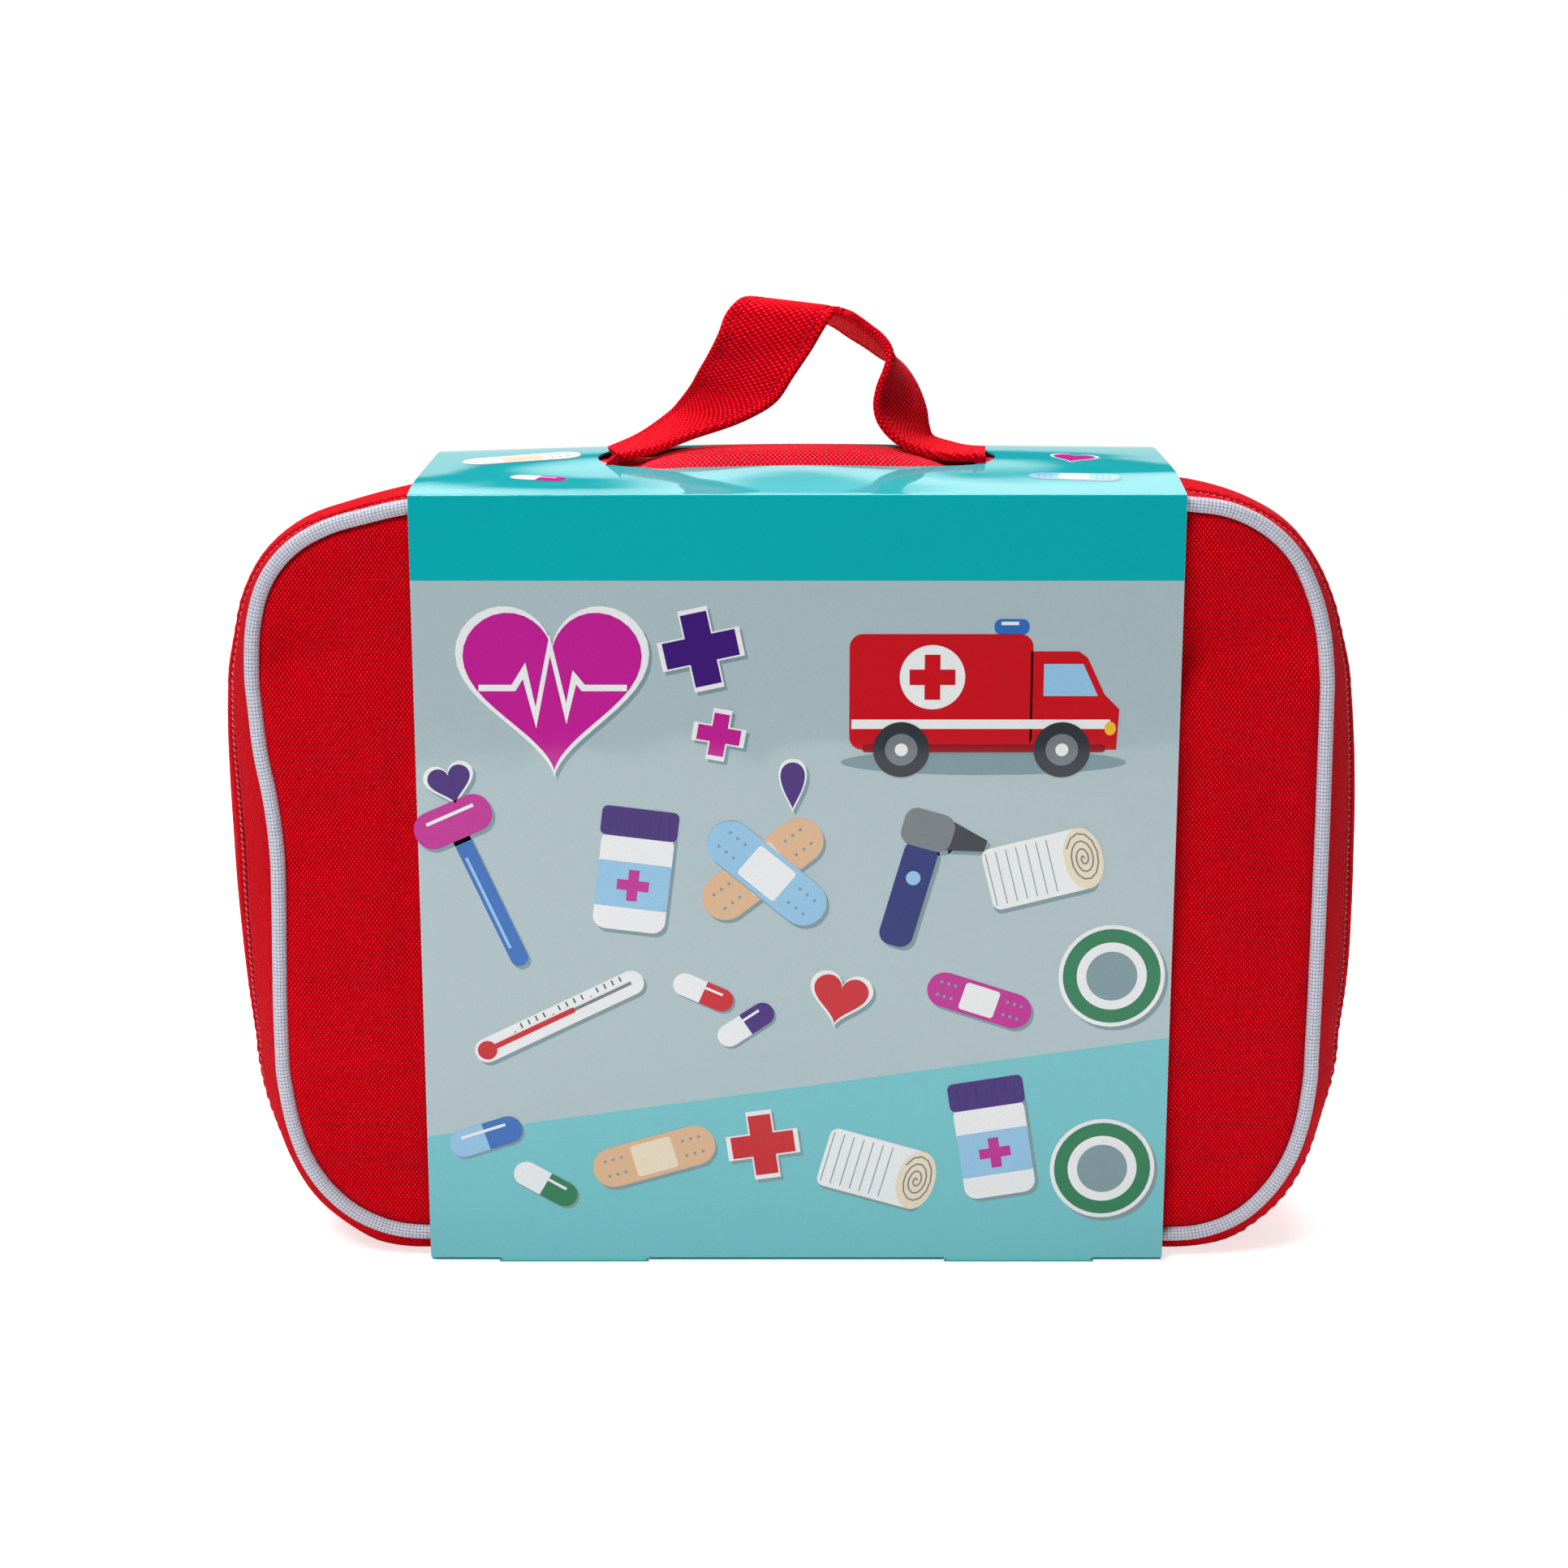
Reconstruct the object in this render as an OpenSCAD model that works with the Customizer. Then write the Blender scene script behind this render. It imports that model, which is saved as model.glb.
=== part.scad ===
// A child's soft zip case for a doctor kit, standing in its printed card sleeve.
// +X runs to the right, the front faces -Y and +Z is up.
// The origin is the middle of the base, on the underside of the sleeve.

/* [Case] */
// Width of a panel between the piping centre lines
panel_w = 248; // [220:1:280]
// Height of a panel between the piping centre lines
panel_h = 174.8; // [160:0.2:200]
// Corner radius of the piping centre line
corner_r = 43; // [34:1:50]
// Depth between the outer faces of the two panels
case_d = 70; // [62:1:84]
// How far the side gusset swells past its seam
bulge = 9.5; // [8:0.5:11]
// Height of the flattened bottom of the case above the floor
bottom_z = 0.8; // [0.8:0.1:1.4]
// How far the flattened top and bottom stand past the piping centre line
flat_out = 5.8; // [5.4:0.1:6.2]
// Distance of the flat top past the upper piping centre line
flat_top_out = 2.8; // [2.6:0.1:2.9]

/* [Cloth and padding] */
// Thickness of the outer cloth of a panel
skin_t = 0.8; // [0.6:0.1:1.2]
// Thickness of the foam inside a panel
foam_t = 3; // [2:0.5:4]
// Thickness of the lining cloth
lining_t = 0.5; // [0.4:0.1:0.6]
// Thickness of the stiffened gusset band
band_t = 1.5; // [1.3:0.1:1.7]
// Radius of the round piping
piping_r = 2; // [1.8:0.1:2.3]
// Width of the tape that binds the inner seam
binding_w = 8; // [6:0.5:11]
// Thickness of the tape that binds the inner seam
binding_t = 1.5; // [1:0.1:2]
// Gap between the binding and the lining of the bands
binding_gap = 0.1; // [0.05:0.05:0.3]

/* [Zip] */
// Distance of the zip line behind the outer face of the front panel
zip_back = 17; // [15:0.5:19]
// Width of the slot between the two gusset bands
zip_slot = 5.2; // [5:0.1:6]
// Width of one row of zip coil
coil_w = 1.25; // [1.1:0.05:1.4]
// How far the coil lies below the face of the bands
coil_drop = 0.3; // [0.2:0.1:0.4]
// Thickness of the zip tape
tape_t = 0.6; // [0.4:0.1:0.7]
// Width of one zip tape from the zip line
tape_w = 7; // [6:0.5:9]
// Gap between the two halves of the zip
zip_gap = 0.1; // [0.1:0.02:0.2]
// Length of the cloth tab that closes each end of the zip
end_tab_l = 4.5; // [3.5:0.5:5]
// Length of the slider along the zip
slider_l = 9; // [8:0.5:10]
// Width of the slider across the zip
slider_w = 6.4; // [6:0.1:7]
// Thickness of the slider plate
slider_t = 1.2; // [1:0.1:1.4]
// Gap between the slider and the bands it runs over
slider_gap = 0.2; // [0.15:0.05:0.3]
// Angle round the lower corner at which the slider is parked
slider_park = 29; // [28:1:36]
// Length of the pull from its pin to its tip
pull_l = 14; // [11:0.5:15]
// Width of the pull
pull_w = 4.6; // [4:0.1:5]
// Thickness of the pull
pull_t = 1; // [0.8:0.1:1.1]
// Radius of the pin that carries the pull
pin_r = 0.5; // [0.4:0.05:0.6]

/* [Handle] */
// Width of the strap
strap_w = 22; // [19:0.5:23]
// Width of the strap where it meets its foot
strap_end_w = 18; // [15:0.5:18]
// Thickness of the folded strap
strap_t = 2.2; // [1.8:0.1:2.6]
// Half the distance between the two ends of the free strap
strap_half_span = 41.5; // [40:0.5:42]
// Height of the top of the strap above its hinge line
strap_rise = 38; // [34:1:50]
// Distance of the strap behind the middle of the case
strap_y = 4; // [3:0.5:5]
// Length of the sewn foot on the gusset
foot_l = 22; // [16:1:28]
// Thickness of the sewn foot
foot_t = 1.8; // [1.4:0.1:2.2]
// Height of the hinge line of the strap above the top of the case
strap_lift = 6; // [6:0.2:6.4]

/* [Emblem] */
// Outer diameter of the ring on the front panel
emblem_d = 86; // [70:1:100]
// Width of the ring line
emblem_line = 4.5; // [3:0.5:6]
// Length of each bar of the cross
cross_l = 56; // [40:1:60]
// Width of each bar of the cross
cross_w = 18; // [12:1:22]
// Rounding of the corners of the cross
cross_r = 2.5; // [1:0.5:4]
// Thickness of the printed emblem
emblem_t = 0.3; // [0.2:0.1:0.4]

/* [Card sleeve] */
// Width of the sleeve across the case
sleeve_w = 176; // [160:1:180]
// Thickness of the card
card_t = 0.5; // [0.4:0.05:0.6]
// Clearance between the panels and the card
card_gap = 1; // [1:0.1:2]
// Height of the upper creases of the sleeve above the top of the case
sleeve_lift = 1.7; // [1.7:0.1:2.8]
// How far the top of the sleeve arches up between its creases
sleeve_arch = 5; // [5:0.5:7]
// Height of the free lower edge of the front card
front_edge_z = 1.2; // [1.2:0.1:2]
// Gap between two cards at a crease
crease_gap = 0.1; // [0.1:0.05:0.2]
// Length of the handle hole in the top card
hole_l = 95; // [93:1:100]
// Width of the handle hole in the top card
hole_w = 37; // [35:1:39]
// Radius of the two ends of the handle hole
hole_end_r = 12; // [11:0.5:13]
// Width of a lock tab at its front edge
tab_w = 36; // [30:1:42]
// Length of a lock tab
tab_l = 11; // [8:0.5:14]
// How much narrower each side of a lock tab is at its crease
tab_shoulder = 3; // [2:0.5:5]
// Distance of a lock tab's middle from the middle of the sleeve
tab_x = 53.5; // [50:0.5:60]
// Clearance around a lock tab in its notch
tab_gap = 0.4; // [0.3:0.1:0.6]

/* [Hidden] */

$fn = 64;
red = [0.78, 0.03, 0.08];
dark_red = [0.6, 0.02, 0.06];
white = [0.9, 0.91, 0.96];
teal = [0.0, 0.66, 0.7];
pale_teal = [0.66, 0.84, 0.85];

// Panels and piping
half_d = case_d / 2;
piping_proud = 0.2;
piping_y = half_d - piping_r + piping_proud;
seam_y = piping_y - piping_r;
corner_x = panel_w / 2 - corner_r;
piping_low = bottom_z + flat_out;
piping_high = piping_low + panel_h;
mid_z = (piping_low + piping_high) / 2;
corner_rise = panel_h / 2 - corner_r;
top_z = piping_high + flat_top_out;
foam_y = half_d - skin_t;
lining_y = foam_y - foam_t;
binding_y = lining_y - lining_t;
skin_inset = piping_r;
layer_step = 0.2;

// Arc of the gusset section, centred on the corner axis
seam_step = 0.5;
arc_r = (piping_y * piping_y + bulge * bulge) / (2 * bulge);
arc_centre = corner_r + seam_step + bulge - arc_r;
far = panel_w;

// Distance from the corner axis of a gusset surface at a depth y
function rad_at(depth, y) = arc_centre + sqrt((arc_r - depth) * (arc_r - depth) - y * y);

// Zip places
zip_y = -half_d + zip_back;
slot_front = zip_y - zip_slot / 2;
slot_back = zip_y + zip_slot / 2;
half_gap = zip_gap / 2;
tape_in = band_t + tape_t;
band_lining_in = tape_in + lining_t;
// Edge of the binding past the piping centre line, rounded down to a tenth
binding_grow = floor(10 * (rad_at(band_lining_in, binding_y) - corner_r - binding_gap)) / 10;
slider_in = rad_at(0, zip_y + slider_w / 2) + slider_gap;
slider_out = slider_in + slider_t;
slider_turn = slider_l / slider_in * 180 / PI;
ear_t = 0.9;
ear_wall = 0.4;
eye_w = 2.6;
eye_wall = 0.6;
eye_play = 0.15;
ear_room = 0.2;
eye_r = pin_r + eye_wall;
pin_play = 0.08;
pin_rad = slider_out + eye_r + eye_play;
ear_out = pin_rad + pin_r + ear_wall;
ear_root = slider_in + slider_t / 2;
ear_turn = 2 * eye_r / pin_rad * 180 / PI;
flange_play = 0.12;
flange_in = rad_at(band_t, slot_back) + slider_gap;
slider_facing = 90 - slider_park;
pull_lean = 8;
pull_neck = 1.2;
pull_lap = 0.1;

// Handle places
strap_z = top_z + strap_lift;
foot_gap = 0.4;
foot_run = 5.1;
stub_x = strap_half_span + foot_gap;
foot_x = stub_x + foot_run;
// Each row: place along the span, shift in depth, share of the rise,
// then the direction across the strap and the share of the full width
strap_path = [
    [-1.00, 0.0, -0.01, [0.00, 1.00, 0.00], 0.0],
    [-0.90, 0.0, 0.05, [-0.05, 1.00, 0.02], 0.2],
    [-0.76, -1.0, 0.14, [-0.25, 0.96, 0.10], 0.6],
    [-0.61, -2.0, 0.24, [-0.55, 0.80, 0.25], 1.0],
    [-0.44, -3.0, 0.38, [-0.80, 0.50, 0.38], 1.0],
    [-0.29, -3.0, 0.55, [-0.88, 0.20, 0.44], 1.0],
    [-0.17, -2.5, 0.75, [-0.93, 0.10, 0.36], 1.0],
    [-0.10, -1.0, 0.92, [-0.98, 0.12, 0.15], 1.0],
    [-0.05, 2.5, 0.98, [-0.93, 0.36, 0.03], 1.0],
    [0.07, 5.5, 0.96, [-0.65, 0.76, 0.00], 1.0],
    [0.23, 5.5, 0.87, [-0.25, 0.96, 0.08], 1.0],
    [0.37, 4.0, 0.71, [0.05, 1.00, 0.00], 1.0],
    [0.48, 2.5, 0.53, [0.30, 0.95, 0.05], 1.0],
    [0.55, 1.5, 0.34, [0.50, 0.86, 0.00], 1.0],
    [0.63, 0.5, 0.18, [0.45, 0.89, -0.10], 0.8],
    [0.76, 0.0, 0.07, [0.20, 0.98, 0.00], 0.5],
    [0.88, 0.0, 0.02, [0.05, 1.00, 0.00], 0.2],
    [1.00, 0.0, -0.01, [0.00, 1.00, 0.00], 0.0]
];

// Sleeve places
sleeve_h = top_z + sleeve_lift;
card_in = half_d + card_gap;
card_out = card_in + card_t;
card_under = sleeve_h - card_t;
bottom_short = 1.2;
bottom_front = -card_in + bottom_short;
cut_over = 2;
crown_r = (card_out * card_out + sleeve_arch * sleeve_arch) / (2 * sleeve_arch);
crown_centre = sleeve_h + sleeve_arch - crown_r;
hole_end_x = hole_l / 2 - hole_end_r;
hole_rise = hole_w / 2 - hole_end_r;
hole_side_c = (hole_end_x * hole_end_x - hole_rise * hole_rise) / (2 * hole_rise);
hole_side_r = hole_side_c + hole_w / 2;
hole_meet_x = hole_end_x * hole_side_r / (hole_side_r - hole_end_r);
tab_reach = 0.4;
tab_front = -card_in - tab_reach;

// Puts the children, drawn at the lower right corner, at all four corners
module at_corners() {
    translate([0, 0, mid_z])
        for (side = [0, 1], end = [0, 1])
            mirror([side, 0, 0])
                mirror([0, 0, end])
                    translate([corner_x, 0, -corner_rise])
                        children();
}

// Rounded outline of a panel, grown by a distance from the piping centre line
module outline(grow) {
    r = corner_r + grow;
    translate([-corner_x - r, mid_z - corner_rise])
        square([2 * (corner_x + r), 2 * corner_rise]);
    translate([-corner_x, mid_z - corner_rise - r])
        square([2 * corner_x, 2 * (corner_rise + r)]);
    for (side = [-1, 1], end = [-1, 1])
        translate([side * corner_x, mid_z + end * corner_rise])
            circle(r);
}

// Plate of a given outline between two depths
module plate(from_y, to_y) {
    translate([0, to_y, 0])
        rotate([90, 0, 0])
            linear_extrude(to_y - from_y)
                children();
}

// Section of the gusset out to a depth below its outer face
module section(depth, from_y, to_y) {
    intersection() {
        translate([arc_centre, 0])
            circle(arc_r - depth, $fn = 180);
        translate([0, from_y])
            square([far, to_y - from_y]);
    }
}

// Section of one layer of the gusset, cut flat at a limit
module layer_section(outer, inner, from_y, to_y, limit) {
    difference() {
        intersection() {
            section(outer, from_y, to_y);
            translate([0, from_y])
                square([limit - outer, to_y - from_y]);
        }
        intersection() {
            section(inner, from_y, to_y);
            translate([0, from_y])
                square([limit - inner, to_y - from_y]);
        }
    }
}

// One rounded corner of the gusset, filled in, at the lower right
module corner_fill(depth, from_y, to_y, drop) {
    intersection() {
        rotate([-90, 0, 0])
            rotate_extrude(angle = 90)
                section(depth, from_y, to_y);
        translate([0, -far, -corner_r - drop + depth])
            cube([far, 2 * far, far]);
    }
}

module corner_layer(outer, inner, from_y, to_y, drop) {
    difference() {
        corner_fill(outer, from_y, to_y, drop);
        corner_fill(inner, from_y, to_y, drop);
    }
}

// The gusset layer that the zip opens: both sides, the top and all four corners
module zip_layer(outer, inner, from_y, to_y) {
    for (side = [0, 1])
        mirror([side, 0, 0])
            translate([corner_x, 0, mid_z - corner_rise])
                linear_extrude(2 * corner_rise)
                    layer_section(outer, inner, from_y, to_y, far);
    top_run(outer, inner, from_y, to_y);
    translate([0, 0, mid_z])
        for (side = [0, 1], end = [0, 1])
            mirror([side, 0, 0])
                mirror([0, 0, end])
                    translate([corner_x, 0, -corner_rise])
                        corner_layer(outer, inner, from_y, to_y, end > 0 ? flat_top_out : flat_out);
}

// A run of a gusset layer along X, with its outside facing up
module flat_run(outer, inner, from_y, to_y, drop) {
    rotate([0, -90, 0])
        translate([0, 0, -corner_x])
            linear_extrude(2 * corner_x)
                layer_section(outer, inner, from_y, to_y, corner_r + drop);
}

module top_run(outer, inner, from_y, to_y) {
    translate([0, 0, mid_z + corner_rise])
        flat_run(outer, inner, from_y, to_y, flat_top_out);
}

module bottom_run(outer, inner, from_y, to_y) {
    translate([0, 0, mid_z - corner_rise])
        mirror([0, 0, 1])
            flat_run(outer, inner, from_y, to_y, flat_out);
}

// Round cord sewn into the seam round one panel
module piping(y) {
    translate([0, y, 0]) {
        at_corners()
            rotate([-90, 0, 0])
                rotate_extrude(angle = 90)
                    translate([corner_r, 0])
                        circle(piping_r);
        for (side = [-1, 1])
            translate([side * panel_w / 2, 0, mid_z - corner_rise])
                cylinder(r = piping_r, h = 2 * corner_rise);
        for (end = [-1, 1])
            translate([-corner_x, 0, mid_z + end * panel_h / 2])
                rotate([0, 90, 0])
                    cylinder(r = piping_r, h = 2 * corner_x);
    }
}

// Tape folded over the seam inside the case
module binding(from_y, to_y) {
    plate(from_y, to_y)
        difference() {
            outline(binding_grow);
            outline(binding_grow - binding_w);
        }
}

module front_panel() {
    color(red)
        plate(-half_d, -foam_y)
            outline(-skin_inset);
}

module front_foam() {
    color("gainsboro")
        plate(-foam_y, -lining_y)
            outline(-skin_inset - layer_step);
}

module front_lining() {
    color("dimgray")
        plate(-lining_y, -binding_y)
            outline(-skin_inset - 2 * layer_step);
}

module front_piping() {
    color(white)
        piping(-piping_y);
}

module front_band() {
    color(red)
        zip_layer(0, band_t, -seam_y, slot_front);
}

module front_band_lining() {
    color("dimgray")
        zip_layer(tape_in, band_lining_in, -binding_y, slot_front);
}

module front_binding() {
    color(dark_red)
        binding(-binding_y, -binding_y + binding_t);
}

module front_zip_tape() {
    color(dark_red)
        zip_layer(band_t, tape_in, zip_y - tape_w, zip_y - half_gap);
}

module front_zip_coil() {
    color(dark_red)
        zip_layer(coil_drop, band_t, zip_y - half_gap - coil_w, zip_y - half_gap);
}

// Bar of the cross with rounded corners
module round_bar(l, w) {
    square([l - 2 * cross_r, w], center = true);
    square([l, w - 2 * cross_r], center = true);
    for (x = [-1, 1], z = [-1, 1])
        translate([x * (l / 2 - cross_r), z * (w / 2 - cross_r)])
            circle(cross_r);
}

module front_emblem() {
    color(white)
        plate(-half_d - emblem_t, -half_d)
            translate([0, mid_z]) {
                difference() {
                    circle(d = emblem_d);
                    circle(d = emblem_d - 2 * emblem_line);
                }
                round_bar(cross_l, cross_w);
                rotate(90)
                    round_bar(cross_l, cross_w);
            }
}

module back_panel() {
    color(red)
        plate(foam_y, half_d)
            outline(-skin_inset);
}

module back_foam() {
    color("gainsboro")
        plate(lining_y, foam_y)
            outline(-skin_inset - layer_step);
}

module back_lining() {
    color("dimgray")
        plate(binding_y, lining_y)
            outline(-skin_inset - 2 * layer_step);
}

module back_piping() {
    color(white)
        piping(piping_y);
}

module back_band() {
    color(red)
        zip_layer(0, band_t, slot_back, seam_y);
}

module back_band_lining() {
    color("dimgray")
        zip_layer(tape_in, band_lining_in, slot_back, binding_y);
}

module back_binding() {
    color(dark_red)
        binding(binding_y - binding_t, binding_y);
}

module rear_zip_tape() {
    color(dark_red)
        zip_layer(band_t, tape_in, zip_y + half_gap, zip_y + tape_w);
}

module rear_zip_coil() {
    color(dark_red)
        zip_layer(coil_drop, band_t, zip_y + half_gap, zip_y + half_gap + coil_w);
}

// Cloth along the bottom that joins the lid to the case and acts as its hinge
module bottom_gusset() {
    color(red)
        bottom_run(0, band_t, -seam_y, seam_y);
}

module bottom_lining() {
    color("dimgray")
        bottom_run(band_t, band_t + lining_t, -seam_y, binding_y);
}

module zip_end_tabs() {
    color(red)
        for (side = [0, 1])
            mirror([side, 0, 0])
                translate([corner_x, slot_front + flange_play, bottom_z])
                    cube([end_tab_l, zip_slot - 2 * flange_play, coil_drop]);
}

// Sewn foot of the handle with the short stub that rises through the card
module handle_foot() {
    low = strap_z - strap_t / 2;
    high = strap_z + strap_t / 2;
    translate([0, strap_y + strap_end_w / 2, 0])
        rotate([90, 0, 0])
            linear_extrude(strap_end_w)
                polygon([
                    [foot_x - foot_t / 2, top_z], [foot_x + foot_l, top_z],
                    [foot_x + foot_l, top_z + foot_t], [foot_x + foot_t / 2, top_z + foot_t],
                    [stub_x, high], [stub_x, low]
                ]);
}

module handle_foot_left() {
    color(red)
        mirror([1, 0, 0])
            handle_foot();
}

module handle_foot_right() {
    color(red)
        handle_foot();
}

// Middle of the strap at one row of its path
function strap_point(row) = [
    row[0] * strap_half_span,
    strap_y + row[1],
    strap_z + row[2] * strap_rise
];
function strap_across(row) = row[3] / norm(row[3]);
function strap_half_w(row) = (strap_end_w + (strap_w - strap_end_w) * row[4]) / 2;
function strap_along(i) =
    let (
        before = strap_point(strap_path[max(i - 1, 0)]),
        after = strap_point(strap_path[min(i + 1, len(strap_path) - 1)])
    )
    i == 0 || i == len(strap_path) - 1 ? [1, 0, 0] : (after - before) / norm(after - before);
function strap_face(i) =
    let (n = cross(strap_along(i), strap_across(strap_path[i])))
    n / norm(n);
function strap_ring(i) =
    let (
        row = strap_path[i],
        mid = strap_point(row),
        side = strap_across(row) * strap_half_w(row),
        up = strap_face(i) * strap_t / 2
    )
    [mid - side - up, mid + side - up, mid + side + up, mid - side + up];

module handle_strap() {
    last = len(strap_path) - 1;
    points = [for (i = [0:last]) each strap_ring(i)];
    walls = [for (i = [0:last - 1], k = [0:3])
        let (a = 4 * i + k, b = 4 * i + (k + 1) % 4)
        each [[a, b, b + 4], [a, b + 4, a + 4]]];
    color(red)
        polyhedron(points, concat([[3, 2, 1, 0]], walls,
            [[4 * last, 4 * last + 1, 4 * last + 2, 4 * last + 3]]));
}

// Turns a piece about the corner axis that the zip follows
module round_corner(facing, turn) {
    rotate([-90, 0, 0])
        rotate([0, 0, facing - turn / 2])
            rotate_extrude(angle = turn)
                children();
}

// Puts a piece drawn about the corner axis at the lower left corner
module at_slider_corner() {
    mirror([1, 0, 0])
        translate([corner_x, 0, mid_z - corner_rise])
            children();
}

// Puts a piece drawn about the pull's pin, with +X outwards, at the pin
module at_pin() {
    rotate([0, slider_facing, 0])
        translate([pin_rad, zip_y, 0])
            children();
}

module zip_slider() {
    ear_in = eye_w / 2 + ear_room;
    color("silver")
        at_slider_corner() {
            round_corner(slider_facing, slider_turn) {
                translate([slider_in, zip_y - slider_w / 2])
                    square([slider_t, slider_w]);
                translate([flange_in, zip_y + half_gap + coil_w + flange_play])
                    square([ear_root - flange_in,
                            zip_slot / 2 - half_gap - coil_w - 2 * flange_play]);
            }
            for (side = [0, 1])
                translate([0, zip_y, 0])
                    mirror([0, side, 0])
                        round_corner(slider_facing, ear_turn)
                            translate([ear_root, ear_in])
                                square([ear_out - ear_root, ear_t]);
            at_pin()
                rotate([90, 0, 0])
                    cylinder(r = pin_r, h = 2 * ear_in + ear_t, center = true);
        }
}

module zip_pull() {
    eye_clear = eye_r + pull_neck;
    color("silver")
        at_slider_corner()
            at_pin()
                rotate([0, -pull_lean, 0])
                    difference() {
                        union() {
                            rotate([90, 0, 0])
                                cylinder(r = eye_r, h = eye_w, center = true);
                            translate([-pull_t / 2, -eye_w / 2, 0])
                                cube([pull_t, eye_w, eye_clear + pull_lap]);
                            translate([-pull_t / 2, -pull_w / 2, eye_clear])
                                cube([pull_t, pull_w, pull_l - eye_clear - pull_w / 2]);
                            translate([-pull_t / 2, 0, pull_l - pull_w / 2])
                                rotate([0, 90, 0])
                                    cylinder(d = pull_w, h = pull_t);
                        }
                        rotate([90, 0, 0])
                            cylinder(r = pin_r + pin_play, h = 2 * eye_w, center = true);
                    }
}

// Outline of the handle hole: two end circles joined by two long arcs
module handle_hole() {
    intersection() {
        translate([0, -hole_side_c])
            circle(hole_side_r, $fn = 180);
        translate([0, hole_side_c])
            circle(hole_side_r, $fn = 180);
        square([2 * hole_meet_x, hole_w + cut_over], center = true);
    }
    for (side = [-1, 1])
        translate([side * hole_end_x, 0])
            circle(hole_end_r);
}

module sleeve_top() {
    color(teal)
        difference() {
            translate([-sleeve_w / 2, 0, 0])
                rotate([90, 0, 90])
                    linear_extrude(sleeve_w)
                        intersection() {
                            difference() {
                                translate([0, crown_centre])
                                    circle(crown_r, $fn = 360);
                                translate([0, crown_centre])
                                    circle(crown_r - card_t, $fn = 360);
                            }
                            translate([-card_out, card_under])
                                square([2 * card_out, sleeve_arch + cut_over]);
                        }
            translate([0, strap_y, card_under])
                linear_extrude(sleeve_arch + cut_over)
                    handle_hole();
        }
}

module sleeve_front() {
    color(pale_teal)
        translate([-sleeve_w / 2, -card_out, front_edge_z])
            cube([sleeve_w, card_t, card_under - crease_gap - front_edge_z]);
}

module sleeve_back() {
    color(pale_teal)
        translate([-sleeve_w / 2, card_in, card_t + crease_gap])
            cube([sleeve_w, card_t, card_under - 2 * crease_gap - card_t]);
}

// Flat shape of the right-hand lock tab, a tongue that the bottom card is
// cut around, grown at its sides and at the crease along its rear edge
module tab_shape(side_room, crease_room) {
    rear = tab_front + tab_l + crease_room;
    neck = tab_w / 2 - tab_shoulder + side_room;
    polygon([
        [tab_x - tab_w / 2 - side_room, tab_front],
        [tab_x + tab_w / 2 + side_room, tab_front],
        [tab_x + neck, rear],
        [tab_x - neck, rear]
    ]);
}

module lock_tab() {
    linear_extrude(card_t)
        tab_shape(0, 0);
}

module sleeve_bottom() {
    color(teal)
        linear_extrude(card_t)
            difference() {
                translate([-sleeve_w / 2, bottom_front])
                    square([sleeve_w, card_out - bottom_front]);
                for (side = [0, 1])
                    mirror([side, 0])
                        tab_shape(tab_gap, crease_gap);
            }
}

module lock_tab_left() {
    color(teal)
        mirror([1, 0, 0])
            lock_tab();
}

module lock_tab_right() {
    color(teal)
        lock_tab();
}

front_panel();
front_foam();
front_lining();
front_piping();
front_band();
front_band_lining();
front_binding();
front_zip_tape();
front_zip_coil();
front_emblem();
back_panel();
back_foam();
back_lining();
back_piping();
back_band();
back_band_lining();
back_binding();
rear_zip_tape();
rear_zip_coil();
bottom_gusset();
bottom_lining();
zip_end_tabs();
handle_foot_left();
handle_foot_right();
handle_strap();
zip_slider();
zip_pull();
sleeve_top();
sleeve_front();
sleeve_back();
sleeve_bottom();
lock_tab_left();
lock_tab_right();
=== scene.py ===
# A soft toy doctor case standing in its printed card sleeve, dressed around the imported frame.
# Everything is in metres in the frame of the part: +X to the right, the front faces -Y, +Z up.
import math
import random

import bmesh
import bpy
import numpy as np
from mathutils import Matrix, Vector


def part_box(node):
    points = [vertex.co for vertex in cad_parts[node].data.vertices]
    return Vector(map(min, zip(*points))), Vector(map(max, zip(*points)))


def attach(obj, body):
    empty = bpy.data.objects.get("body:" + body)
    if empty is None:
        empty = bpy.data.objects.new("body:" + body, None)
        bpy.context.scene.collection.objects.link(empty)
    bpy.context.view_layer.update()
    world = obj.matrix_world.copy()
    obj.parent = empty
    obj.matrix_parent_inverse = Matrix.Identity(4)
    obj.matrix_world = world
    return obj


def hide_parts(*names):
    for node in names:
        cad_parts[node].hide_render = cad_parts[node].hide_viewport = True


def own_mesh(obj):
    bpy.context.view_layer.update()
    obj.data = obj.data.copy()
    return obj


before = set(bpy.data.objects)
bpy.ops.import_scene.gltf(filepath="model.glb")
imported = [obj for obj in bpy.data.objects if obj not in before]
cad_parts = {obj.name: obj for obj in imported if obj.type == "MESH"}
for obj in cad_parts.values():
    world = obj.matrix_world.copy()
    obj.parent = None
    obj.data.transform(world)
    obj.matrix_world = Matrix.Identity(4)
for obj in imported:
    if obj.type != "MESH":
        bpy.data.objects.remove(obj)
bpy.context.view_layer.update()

MM = 0.001
rng = random.Random(7)

# Camera of the photograph: lens for the long side of a 1932 x 1932 frame
CAMERA_AT = (-3.0 * MM, -657.0 * MM, 265.5 * MM)
CAMERA_PITCH = math.radians(13.34)
SENSOR = 36.0
FRAME_PX = 1932
FOCAL_PX = 3400

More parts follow.
